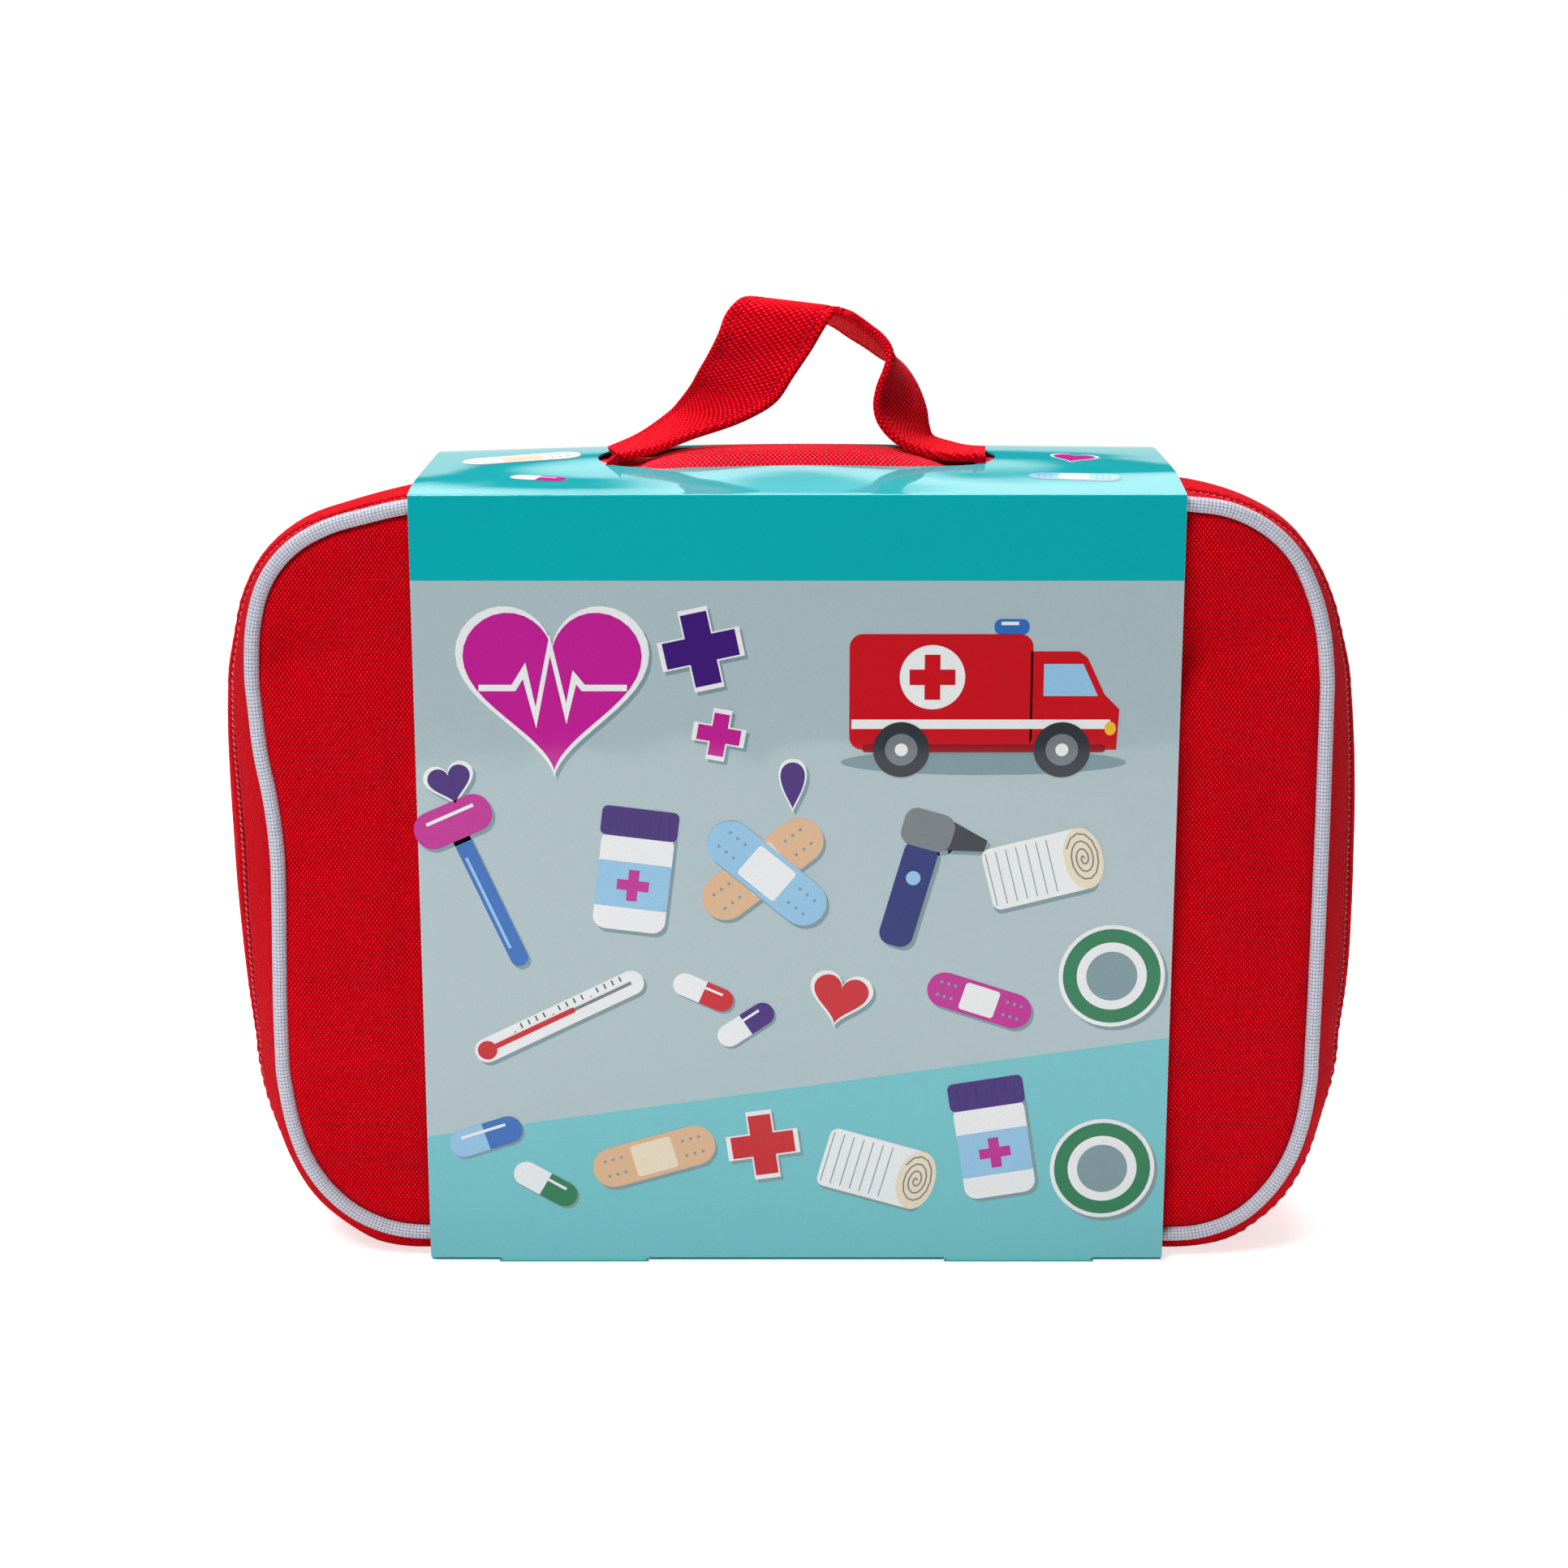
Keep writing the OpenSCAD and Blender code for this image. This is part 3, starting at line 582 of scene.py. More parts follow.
def arch_height(x, y):
    """Height of the top card's face at a place between the creases."""
    last = ARCH_COLS - 1
    at_x = np.clip((x / SLEEVE_HALF + 1) / 2 * last, 0, last)
    at_y = np.clip((y / FLAT_HALF + 1) / 2 * last, 0, last)
    i, j = (np.minimum(a.astype(int), last - 1) for a in (at_x, at_y))
    fx, fy = at_x - i, at_y - j
    low = ARCH[j, i] * (1 - fx) + ARCH[j, i + 1] * fx
    high = ARCH[j + 1, i] * (1 - fx) + ARCH[j + 1, i + 1] * fx
    return CREASE_Z + low * (1 - fy) + high * fy


# Gusset bands


def band_section(near, far, depth, thickness, round_near, round_far):
    """Closed section of a band: depths across the case and depths into it, going round once."""
    half = thickness / 2
    count = 26
    outer = [(y, depth) for y in np.linspace(near, far, count)]
    inner = [(y, depth + thickness) for y in np.linspace(far, near, count)]
    turn = [math.pi * k / 6 for k in range(1, 6)]
    sign = 1 if far > near else -1
    end = [(far + sign * half * math.sin(a), depth + half - half * math.cos(a)) for a in turn] if round_far else []
    start = [(near - sign * half * math.sin(a), depth + half + half * math.cos(a)) for a in turn] if round_near else []
    return np.array(outer + end + inner + start)


def band(name, names, near, far, depth=0.0, thickness=BAND_T, round_near=False, round_far=True,
         pucker=0.12 * MM, closed=False, swollen=False):
    stations = rim(names, 2.0 * MM)
    if closed:
        stations = stations[:-1]
    section = band_section(near, far, depth, thickness, round_near, round_far)
    points = gusset_points(stations, section[:, 0], section[:, 1])
    s = stations[:, LENGTH, None]
    y = section[None, :, 0]
    swing = np.sin(s / (2.7 * MM) + 2 * np.sin(s / (23 * MM))) * np.sin(s / (9.1 * MM))
    seam = np.exp(-np.abs(y - near) / (3 * MM)) + 0.8 * np.exp(-np.abs(y - far) / (2 * MM))
    push = pucker * swing * seam
    points[..., 0] += stations[:, 2, None] * push
    points[..., 2] += stations[:, 3, None] * push * (np.abs(stations[:, 3, None]) < 0.8)
    if swollen:
        points[..., 2] += top_rise(points[..., 0], points[..., 1]) * (section[None, :, 1] < thickness / 2)
    v = ring_lengths(points)
    u = np.repeat(s, points.shape[1] + 1, axis=1)
    if closed:
        u = np.concatenate([u, u[-1:] + 2 * MM])
        v = np.concatenate([v, v[:1]])
    return grid_piece(name, points, u, v, wrap_rows=closed, wrap_cols=True, caps=not closed)


def hole_rise(x, y):
    """How far the cloth swells up into the handle hole, from 0 to 1."""
    along = np.clip(1 - ((x + 1 * MM) / (40 * MM)) ** 4, 0, 1)
    across = np.interp(y / MM, [-15.4, -14.4, -12, -9.5, -7, -3, 4, 12, 20, 28, 33],
                       [0, 0.06, 0.5, 0.78, 0.93, 1, 0.93, 0.7, 0.4, 0.12, 0])
    return along * across


def top_rise(x, y):
    """How far the soft top rises from the gusset to fill the arch of the card and the handle hole."""
    room = np.clip(arch_height(x, y) - CARD_T - 0.4 * MM - (TOP_Z + TOP_SLACK), 0, 1)
    hold = np.clip((CORNER_X - np.abs(x)) / (14 * MM), 0, 1) * np.clip((33 * MM - y) / (9 * MM), 0, 1)
    hold = hold * np.clip((y + 15.4 * MM) / (5 * MM), 0, 1)
    hold = hold * hold * (3 - 2 * hold)
    return np.maximum(HOLE_RISE * hole_rise(x, y), room * hold) + TOP_SLACK * sunk(x) * hold - 0.1 * MM


EDGE_ROLL = BAND_T / 2
dress(band("front_band_cloth", ZIP_SEGMENTS, -SEAM_Y, SLOT_FRONT - EDGE_ROLL), band_cloth, "lid",
      ["front_band"])
dress(band("back_band_cloth", ZIP_SEGMENTS, SEAM_Y, SLOT_BACK + EDGE_ROLL), band_cloth, "shell",
      ["back_band"])

# The soft top that swells up through the handle hole, and is pressed flat where the handle swings over it
# It wears the paler copy of the red cloth, with painted light from above
swell = dress(band("top_swell_cloth", ["top"], 34 * MM, -15.2 * MM, thickness=0.3 * MM, round_far=False, pucker=0,
                   swollen=True), lit_top_cloth, "shell")
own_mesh(swell)

# The zip: tapes, coils and stitching
TAPE_T = 0.6 * MM
TAPE_W = 7 * MM
dress(band("front_tape", ZIP_SEGMENTS, ZIP_Y - TAPE_W, ZIP_Y - 0.15 * MM, BAND_T, TAPE_T, pucker=0), tape_cloth,
      "lid", ["front_zip_tape"])
dress(band("rear_tape", ZIP_SEGMENTS, ZIP_Y + TAPE_W, ZIP_Y + 0.15 * MM, BAND_T, TAPE_T, pucker=0), tape_cloth,
      "shell", ["rear_zip_tape"])

COIL_PITCH = 1.5 * MM
COIL_WIRE = 0.27 * MM
COIL_STEPS = 10


def coil(name, side):
    """One row of the zip: a flat spiral of nylon along the edge of its tape."""
    stations = rim(ZIP_SEGMENTS, COIL_PITCH / COIL_STEPS * 1.0)
    angle = stations[:, LENGTH] * 2 * math.pi / COIL_PITCH + (math.pi if side > 0 else 0)
    across = ZIP_Y + side * (0.62 * MM - 0.62 * MM * np.cos(angle))
    depth = BAND_T - 0.62 * MM + 0.42 * MM * np.sin(angle)
    rows = np.arange(len(stations))
    every = gusset_points(stations, np.array([ZIP_Y]), np.array([0.0]))[:, 0]
    out = np.stack([stations[:, 2], np.zeros(len(rows)), stations[:, 3]], axis=1)
    path = every - out * depth[:, None]
    path[:, 1] = across
    return tube(name, path, COIL_WIRE, sides=5)


dress(coil("front_coil", -1), coil_plastic, "lid", ["front_zip_coil"])
dress(coil("rear_coil", 1), coil_plastic, "shell", ["rear_zip_coil"])


def stitch(centre, along, length, thick):
    """One stitch as a short thread that dips into the cloth at both ends."""
    t = np.linspace(-1, 1, 5)
    out = centre[1]
    path = centre[0] + along * (t[:, None] * length / 2) + out * (thick * 0.4 * (1 - t[:, None] ** 2) - 0.3 * thick)
    return tube("stitch", path, thick / 2, sides=5)


def stitch_row(name, names, y, pitch=2.6 * MM, length=2.0 * MM, thick=0.36 * MM, depth=0.0):
    stations = rim(names, pitch)
    points = gusset_points(stations, np.array([y]), np.array([depth]))[:, 0]
    parts = []
    for k in range(1, len(points) - 1):
        along = points[k + 1] - points[k - 1]
        along /= np.linalg.norm(along)
        out = np.array([stations[k, 2], 0.0, stations[k, 3]])
        tilt = along + np.array([0.0, 0.22, 0.0])
        parts.append(stitch((points[k], out), tilt / np.linalg.norm(tilt), length, thick))
    return join_pieces(name, parts)


STITCH_IN = 1.6 * MM
dress(stitch_row("front_zip_stitches", ZIP_SEGMENTS, SLOT_FRONT - STITCH_IN), thread, "lid")
dress(stitch_row("back_zip_stitches", ZIP_SEGMENTS, SLOT_BACK + STITCH_IN), thread, "shell")

# Bottom gusset, which is also the hinge of the lid
bottom = dress(band("bottom_gusset_cloth", ["bottom"], -SEAM_Y, SEAM_Y, round_far=False, pucker=0), band_cloth,
               "shell", ["bottom_gusset"])

# Linings and the taped seams follow the soft outline
for side, place, body, dents in ((-1, "front", "lid", FRONT_DENTS), (1, "back", "shell", BACK_DENTS)):
    low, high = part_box(place + "_band_lining")
    near, far = (low.y, high.y) if side < 0 else (high.y, low.y)
    dress(band(place + "_band_lining_cloth", ZIP_SEGMENTS, near, far, BAND_T + TAPE_T, 0.5 * MM, round_far=False,
               pucker=0), lining_cloth, body, [place + "_band_lining"])
    low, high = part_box(place + "_lining")
    outer, inner = max(abs(low.y), abs(high.y)), min(abs(low.y), abs(high.y))
    dress(panel_layer(place + "_lining_sheet", side, dents, outer, inner, 2.6 * MM, 0), lining_cloth, body,
          [place + "_lining"])
    low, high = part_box(place + "_binding")
    near, far = (low.y, high.y) if side < 0 else (high.y, low.y)
    dress(band(place + "_seam_binding", SEGMENTS, near, far, 3.0 * MM, 2.6 * MM, round_far=True, pucker=0,
               closed=True), binding_cloth, body, [place + "_binding"])

# Nodes whose shape is right
binding_plain = grainy("binding_plain", linear(150, 6, 22), 0.2, 1600, 0.1 * MM, 0.75, **RED_GLOSS)
for node_name, stuff in {
    "bottom_lining": lining_cloth, "zip_slider": zip_paint, "zip_pull": zip_paint, "zip_end_tabs": binding_plain,
    "front_emblem": emblem_ink,
}.items():
    dress_node(node_name, stuff)


# The strap


STRAP_T = 2.0 * MM
# The strap's near and far edges from its left end to its right end, as x, y, z in millimetres
STRAP_EDGES = [
    ((-42.0, -4.5, 190.0), (-45.5, 12.5, 190.0)), ((-33.0, -5.0, 192.0), (-38.0, 13.0, 193.4)),
    ((-24.0, -6.5, 195.4), (-31.0, 12.5, 198.4)), ((-15.5, -8.0, 198.2), (-28.0, 10.0, 202.0)),
    ((-10.0, -8.5, 200.5), (-25.5, 6.5, 205.8)), ((-4.5, -7.5, 203.8), (-23.5, 1.5, 209.6)),
    ((-0.5, -7.0, 209.6), (-21.0, -1.0, 214.0)), ((3.5, -4.5, 215.2), (-18.5, -4.5, 219.0)),
    ((6.0, -4.0, 219.4), (-17.0, -4.0, 223.0)), ((8.0, -3.0, 222.4), (-15.2, -3.0, 225.4)),
    ((9.8, -0.5, 224.0), (-12.6, 0.5, 226.6)), ((11.5, -1.5, 223.9), (-7.0, 9.5, 225.4)),
    ((13.0, -2.5, 223.3), (0.5, 15.5, 223.0)), ((15.0, -2.0, 221.9), (8.0, 19.0, 220.2)),
    ((17.3, -1.8, 220.2), (13.0, 19.5, 217.0)), ((19.6, -2.3, 218.4), (17.0, 19.3, 214.6)),
    ((21.3, -3.3, 216.2), (21.0, 18.3, 212.0)), ((21.8, -4.3, 213.6), (24.5, 17.3, 210.4)),
    ((20.7, -4.9, 210.2), (27.3, 15.9, 207.6)), ((19.1, -4.6, 206.4), (29.6, 14.6, 203.8)),
    ((18.4, -4.5, 202.0), (31.2, 13.5, 199.6)), ((19.8, -5.0, 197.9), (31.8, 13.0, 195.8)),
    ((24.0, -6.0, 193.9), (33.2, 14.0, 192.6)), ((31.3, -5.7, 190.9), (38.2, 13.7, 191.0)),
    ((38.5, -5.0, 190.1), (41.5, 13.0, 190.3)), ((44.5, -4.8, 190.0), (45.8, 12.8, 190.0)),
]
STRAP_STEPS = 180


def strap_piece():
    """The webbing, ruled between its two edges, and the two rows of stitches along its hems."""
    edges = np.array(STRAP_EDGES) * MM
    near, far = (np.array([smooth_rows(edges[:, k, c], STRAP_STEPS) for c in range(3)]).T for k in (0, 1))
    middle, half = (near + far) / 2, (far - near) / 2
    width = np.linalg.norm(half, axis=1)[:, None]
    edge = STRAP_T / 2
    half *= (width - edge) / width

    def faces(share):
        """Points across the strap and the way its outer face looks there."""
        points = middle[:, None] + half[:, None] * np.asarray(share)[None, :, None]
        along = np.gradient(points, axis=0)
        face = np.cross(along, np.broadcast_to(half[:, None], points.shape))
        return points, face / np.linalg.norm(face, axis=2)[..., None]

    flat = np.linspace(-1, 1, 29)
    stitch_at = 0.82
    valley = 0.35 * np.exp(-((np.abs(flat) - stitch_at) / 0.06) ** 2)
    bend = [math.pi * k / 8 for k in range(1, 8)]
    rows = [(w, 0.0, 1 - dip) for w, dip in zip(flat, valley)] + [(1, math.sin(a), math.cos(a)) for a in bend]
    rows += [(w, 0.0, -1 + dip) for w, dip in zip(flat[::-1], valley)]
    rows += [(-1, -math.sin(a), -math.cos(a)) for a in bend]
    section = np.array(rows)
    points, face = faces(section[:, 0])
    across = (half / np.linalg.norm(half, axis=1)[:, None])[:, None]
    points = points + (across * section[None, :, 1, None] + face * section[None, :, 2, None]) * edge
    length = np.concatenate([[0], np.cumsum(np.linalg.norm(np.diff(middle, axis=0), axis=1))])
    u = np.repeat(length[:, None], len(section) + 1, axis=1)
    piece = grid_piece("strap_webbing", points, u, ring_lengths(points), wrap_cols=True, caps=True)
    stitches = []
    rows, face = faces([-stitch_at, stitch_at])
    for side in (0, 1):
        line = rows[:, side]
        run = np.concatenate([[0], np.cumsum(np.linalg.norm(np.diff(line, axis=0), axis=1))])
        along = np.gradient(line, axis=0)
        along /= np.linalg.norm(along, axis=1)[:, None]
        for place in np.arange(1.5 * MM, run[-1] - 1.5 * MM, 3.0 * MM):
            k = int(np.searchsorted(run, place))
            for turn in (-1, 1):
                out = face[k, side] * turn
                stitches.append(stitch((line[k] + out * edge * 0.84, out), along[k], 2.2 * MM, 0.4 * MM))
    return piece, join_pieces("strap_stitches", stitches)


strap, strap_thread = strap_piece()
dress(strap, strap_cloth, "handle", ["handle_strap"])
dress(strap_thread, thread, "handle")
for node_name in ("handle_foot_left", "handle_foot_right"):
    dress_node(node_name, grainy("strap_foot", linear(196, 8, 32), 0.2, 1300, 0.15 * MM, 0.75, **RED_GLOSS))


# The card sleeve


HOLE_HALF_L = 47.5 * MM
HOLE_HALF_W = 18.5 * MM
HOLE_END_R = 12 * MM
HOLE_Y = 4 * MM


def top_profile(x, s, drop):
    """Depth and height of a point of the top card, s along it from its middle, below its face."""
    bend = np.maximum(np.abs(s) - FLAT_HALF, 0) / CREASE_R
    inner = np.clip(s, -FLAT_HALF, FLAT_HALF)
    y = inner + np.sign(s) * (CREASE_R - drop) * np.sin(bend)
    z = arch_height(x, inner) - CREASE_R + (CREASE_R - drop) * np.cos(bend)
    return y, z


def hole_outline(count):
    """Points round the handle hole: two end arcs joined by two long arcs."""
    end_x = HOLE_HALF_L - HOLE_END_R
    rise = HOLE_HALF_W - HOLE_END_R
    side_c = (end_x ** 2 - rise ** 2) / (2 * rise)
    side_r = side_c + HOLE_HALF_W
    points = []
    for k in range(count):
        a = 2 * math.pi * k / count
        dx, dz = math.cos(a), math.sin(a)
        low, high = 0.0, HOLE_HALF_L * 1.1
        for _ in range(30):
            r = (low + high) / 2
            x, y = abs(r * dx), abs(r * dz)
            inside = math.hypot(x - end_x, y) < HOLE_END_R or (
                math.hypot(x, y + side_c) < side_r and x < end_x * side_r / (side_r - HOLE_END_R))
            low, high = (r, high) if inside else (low, r)
        points.append((r * dx, HOLE_Y + r * dz))
    return np.array(points)


def top_card():
    """The arched top of the sleeve with its handle hole and its two rounded creases."""
    count = 200
    hole = hole_outline(count)
    frame_points = []
    for k in range(count):
        a = 2 * math.pi * k / count
        dx, dz = math.cos(a), math.sin(a)
        r = min(SLEEVE_HALF / max(abs(dx), 1e-9), FLAT_HALF / max(abs(dz), 1e-9))
        frame_points.append((r * dx, r * dz))
    edge = np.array(frame_points)
    for corner in ((1, 1), (-1, 1), (-1, -1), (1, -1)):
        target = np.array((corner[0] * SLEEVE_HALF, corner[1] * FLAT_HALF))
        near = np.argmin(np.linalg.norm(edge - target, axis=1))
        edge[near] = target
    shares = np.linspace(0, 1, 18)
    flat = [hole + (edge - hole) * t for t in shares]
    for bend in np.linspace(FLAT_HALF, PROFILE_HALF, 9)[1:]:
        ring = edge.copy()
        ring[:, 1] = np.where(np.abs(edge[:, 1]) > FLAT_HALF - 1e-7, np.sign(edge[:, 1]) * bend, edge[:, 1])
        flat.append(ring)
    flat = np.array(flat)
    layers = []
    for drop in (0.0, CARD_T):
        y, z = top_profile(flat[..., 0], flat[..., 1], drop)
        layers.append(np.stack([flat[..., 0], y, z], axis=2))
    points = np.concatenate([layers[0], layers[1][::-1]])
    lengths = np.concatenate([flat, flat[::-1]])
    lengths = np.concatenate([lengths, lengths[:1]])
    lengths = np.concatenate([lengths, lengths[:, :1]], axis=1)
    return grid_piece("sleeve_top_card", points, lengths[..., 0], lengths[..., 1], wrap_rows=True, wrap_cols=True,
                      merge=0.01 * MM)


TEAL = linear(0, 177, 185)
PALE = linear(175, 195, 200)
WEDGE = linear(108, 196, 203)
BAND_Z = 165.8 * MM
WEDGE_LEFT_Z = 32 * MM
WEDGE_RIGHT_Z = 56.8 * MM


def card_look(name, bands, sole=0.0):
    """Glossy printed card; its front has a band, a field and a wedge."""
    look = Look(name)
    x, y, z = look.places()
    shade = TEAL
    if bands:
        slope = (WEDGE_RIGHT_Z - WEDGE_LEFT_Z) / (2 * SLEEVE_HALF)
        line = look.math("MULTIPLY_ADD", x, slope, (WEDGE_LEFT_Z + WEDGE_RIGHT_Z) / 2)
        low = look.math("LESS_THAN", z, line)
        high = look.math("GREATER_THAN", z, BAND_Z)
        shade = look.mix(high, look.mix(low, PALE, WEDGE), TEAL)
    mottle = look.math("MULTIPLY_ADD", look.noise(1500, 3), 0.1, 0.95)
    tone = look.node("ShaderNodeCombineColor")
    for socket in tone.inputs:
        look.link(mottle, socket)
    shade = look.mix(1.0, shade, tone.outputs[0], "MULTIPLY")
    side = look.math("GREATER_THAN", look.math("ABSOLUTE", x), SLEEVE_HALF - 0.03 * MM)
    if sole:
        side = look.math("MAXIMUM", side, look.math("GREATER_THAN", z, sole))
    shade = look.mix(side, shade, PAPER_EDGE)
    fine = look.noise(2600, 3)
    broad = look.noise(26, 2)
    sway = look.bump(broad, 0.7 * MM, 0.5)
    look.link(sway, look.shader.inputs["Coat Normal"])
    normal = look.bump(fine, 0.012 * MM, 0.6, sway)
    return look.finish(shade, look.math("MULTIPLY_ADD", fine, 0.15, 0.42), normal, Specular_IOR_Level=0.0,
                       Coat_Weight=1.0, Coat_Roughness=0.05, Coat_IOR=1.6)


PAPER_EDGE = linear(188, 184, 176)
teal_card = card_look("teal_card", False)
sole_card = card_look("teal_sole_card", False, CARD_T * 0.9)
front_card_look = card_look("front_card_print", True)
top = dress(top_card(), teal_card, "shell", ["sleeve_top"])
bare_inside(top, lambda at, out: out.z < -0.2 or (abs(at.y) > FLAT_HALF and out.y * at.y < 0))


def flat_card(name, low, high, rows=40, sway=0.25 * MM, lip=0.0):
    """An upright card with a slight sway, as a closed thin plate; its lips reach down to the tabs."""
    ends = [side * (at + step * MM) for side in (-1, 1) for at, turn in ((TAB_LOW.x, 1), (TAB_HIGH.x, -1))
            for step in (0, 0.9 * turn)]
    xs = np.unique(np.concatenate([np.linspace(low.x, high.x, 40), ends]))
    cols = len(xs)
    x, z = np.meshgrid(xs, np.linspace(low.z, high.z, rows))
    inside = np.minimum(np.abs(xs) - TAB_LOW.x, TAB_HIGH.x - np.abs(xs))
    z[0] -= lip * np.clip(inside / (0.9 * MM), 0, 1)
    hold = np.clip((high.z - z) / (30 * MM), 0, 1) * np.clip((z - low.z) / (12 * MM), 0, 1)
    push = sway * np.sin(x / (55 * MM) + 0.6) * np.sin(z / (38 * MM)) * hold
    sheets = [np.stack([x, np.full(x.shape, y) + push, z], axis=2) for y in (low.y, high.y)]
    edge = [(0, j) for j in range(cols)] + [(i, cols - 1) for i in range(1, rows)]
    edge += [(rows - 1, j) for j in range(cols - 2, -1, -1)] + [(i, 0) for i in range(rows - 2, 0, -1)]
    verts = np.concatenate([s.reshape(-1, 3) for s in sheets])
    faces, uv = [], []
    flat_x, flat_z = x.ravel(), z.ravel()
    for sheet in (0, 1):
        quads, _ = grid_faces(rows, cols, False, False, sheet * rows * cols)
        faces += quads
    for (i, j), (p, q) in zip(edge, edge[1:] + edge[:1]):
        a, b = i * cols + j, p * cols + q
        faces.append((a, b, b + rows * cols, a + rows * cols))
    size = rows * cols
    uv = [(flat_x[k % size], flat_z[k % size]) for face in faces for k in face]
    piece = finish_mesh(name, verts, faces, uv)
    return piece


front_low, front_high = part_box("sleeve_front")
front_high = Vector((front_high.x, front_high.y, CREASE_Z - CREASE_R))
LIP = front_low.z - CARD_T - 0.05 * MM
front_card = dress(flat_card("sleeve_front_card", front_low, front_high, sway=0, lip=LIP), front_card_look,
                   "front_card", ["sleeve_front"])
bare_inside(front_card, lambda at, out: out.y > 0.5)
back_low, back_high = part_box("sleeve_back")
back_high = Vector((back_high.x, back_high.y, CREASE_Z - CREASE_R))
back_card = dress(flat_card("sleeve_back_card", back_low, back_high), front_card_look, "back_card",
                  ["sleeve_back"])
bare_inside(back_card, lambda at, out: out.y < -0.5)
for node_name in ("sleeve_bottom", "lock_tab_left", "lock_tab_right"):
    dress_node(node_name, sole_card)

# The print: plain flat motifs, laid on the card in thin films of ink
INK_STEP = 0.03 * MM
INKS = {
    "white": (240, 242, 242), "shade": (128, 156, 162), "magenta": (196, 34, 150), "violet": (66, 30, 122),
    "red": (206, 22, 34), "deep_red": (150, 8, 20), "blue": (52, 112, 190), "sky": (150, 200, 232),
    "navy": (30, 44, 120), "skin": (226, 184, 144), "cream": (238, 224, 196), "green": (36, 128, 84),
    "grey": (122, 128, 134), "dark": (54, 58, 66), "gold": (240, 190, 60),
}
prints = {}


def turn(points, centre, angle=0.0):
    """Points turned by an angle in degrees and moved to a centre, in millimetres."""
    a = math.radians(angle)
    points = np.array(points, float)
    x = points[:, 0] * math.cos(a) - points[:, 1] * math.sin(a) + centre[0]
    y = points[:, 0] * math.sin(a) + points[:, 1] * math.cos(a) + centre[1]
    return np.stack([x, y], axis=1)


def box_shape(width, height, radius, steps=6):
    points = []
    for sx, sy, start in ((1, 1, 0), (-1, 1, 90), (-1, -1, 180), (1, -1, 270)):
        for k in range(steps + 1):
            a = math.radians(start + 90 * k / steps)
            points.append((sx * (width / 2 - radius) + radius * math.cos(a),
                           sy * (height / 2 - radius) + radius * math.sin(a)))
    return points


def disc_shape(width, height=None, steps=40):
    height = height or width
    return [(width / 2 * math.cos(2 * math.pi * k / steps), height / 2 * math.sin(2 * math.pi * k / steps))
            for k in range(steps)]


def heart_shape(size, steps=60):
    points = []
    for k in range(steps):
        a = 2 * math.pi * k / steps
        x = 16 * math.sin(a) ** 3
        y = 13 * math.cos(a) - 5 * math.cos(2 * a) - 2 * math.cos(3 * a) - math.cos(4 * a)
        points.append((x * size / 32, (y + 2.5) * size / 32))
    return points


def cross_shape(size, arm):
    a, b = arm / 2, size / 2
    return [(a, b), (-a, b), (-a, a), (-b, a), (-b, -a), (-a, -a), (-a, -b), (a, -b), (a, -a), (b, -a), (b, a), (a, a)]


def drop_shape(size, steps=40):
    points = []
    for k in range(steps):
        a = 2 * math.pi * k / steps
        points.append((size * 0.36 * math.sin(a) * math.sin(a / 2) ** 1.4, -size * 0.5 * math.cos(a - math.pi)))
    return [(x, -y) for x, y in points]


class Sheet:
    """A printed face: turns places in millimetres into points a few films of ink above it."""

    def __init__(self, name, body, place):
        self.name, self.body, self.place = name, body, place

    def fill(self, ink, shape, centre, angle=0.0, layer=1, rings=3):
        """A filled shape, made of rings round its own middle."""
        outline = turn(shape, centre, angle)
        middle = np.array(centre, float)
        rows = [middle + (outline - middle) * t for t in np.linspace(1, 0.02, rings + 1)]
        store = prints.setdefault((self.name, self.body, ink), ([], []))
        offset = len(store[0])
        for row in rows:
            store[0].extend(self.place(x, y, layer) for x, y in row)
        n = len(outline)
        for r in range(rings):
            for k in range(n):
                a, b = offset + r * n + k, offset + r * n + (k + 1) % n
                store[1].append((a, b, b + n, a + n))
        store[1].append(tuple(offset + rings * n + k for k in range(n)))

    def line(self, ink, points, width, centre=(0, 0), angle=0.0, layer=1, closed=False):
        """A band of even width along points."""
        path = turn(points, centre, angle)
        if closed:
            path = np.concatenate([path, path[:1]])
        run = np.diff(path, axis=0)
        run /= np.maximum(np.linalg.norm(run, axis=1)[:, None], 1e-9)
        before = np.concatenate([run[-1:] if closed else run[:1], run])
        after = np.concatenate([run, run[:1] if closed else run[-1:]])
        bisector = before + after
        bisector /= np.maximum(np.linalg.norm(bisector, axis=1)[:, None], 1e-9)
        mitre = 1 / np.maximum(np.sum(bisector * after, axis=1), 0.3)
        side = np.stack([-bisector[:, 1], bisector[:, 0]], axis=1) * (mitre * width / 2)[:, None]
        store = prints.setdefault((self.name, self.body, ink), ([], []))
        offset = len(store[0])
        for p, q in zip(path + side, path - side):
            store[0].append(self.place(*p, layer))
            store[0].append(self.place(*q, layer))
        for k in range(len(path) - 1):
            a = offset + 2 * k
            store[1].append((a, a + 1, a + 3, a + 2))


def front_place(x, z, layer):
    return (x * MM, -CARD_FACE - layer * INK_STEP, z * MM)


def top_place(x, s, layer):
    y, z = top_profile(np.array(x * MM), np.array(s * MM), -layer * INK_STEP)
    return (x * MM, float(y), float(z))


def haloed(sheet, shape_of, size, ink, centre, angle=0.0, halo=2.2):
    """A motif with a shadow and a white rim."""
    sheet.fill("shade", shape_of(size + halo), (centre[0] + 0.7, centre[1] - 0.8), angle, 1)
    sheet.fill("white", shape_of(size + halo), centre, angle, 2)
    sheet.fill(ink, shape_of(size), centre, angle, 3)


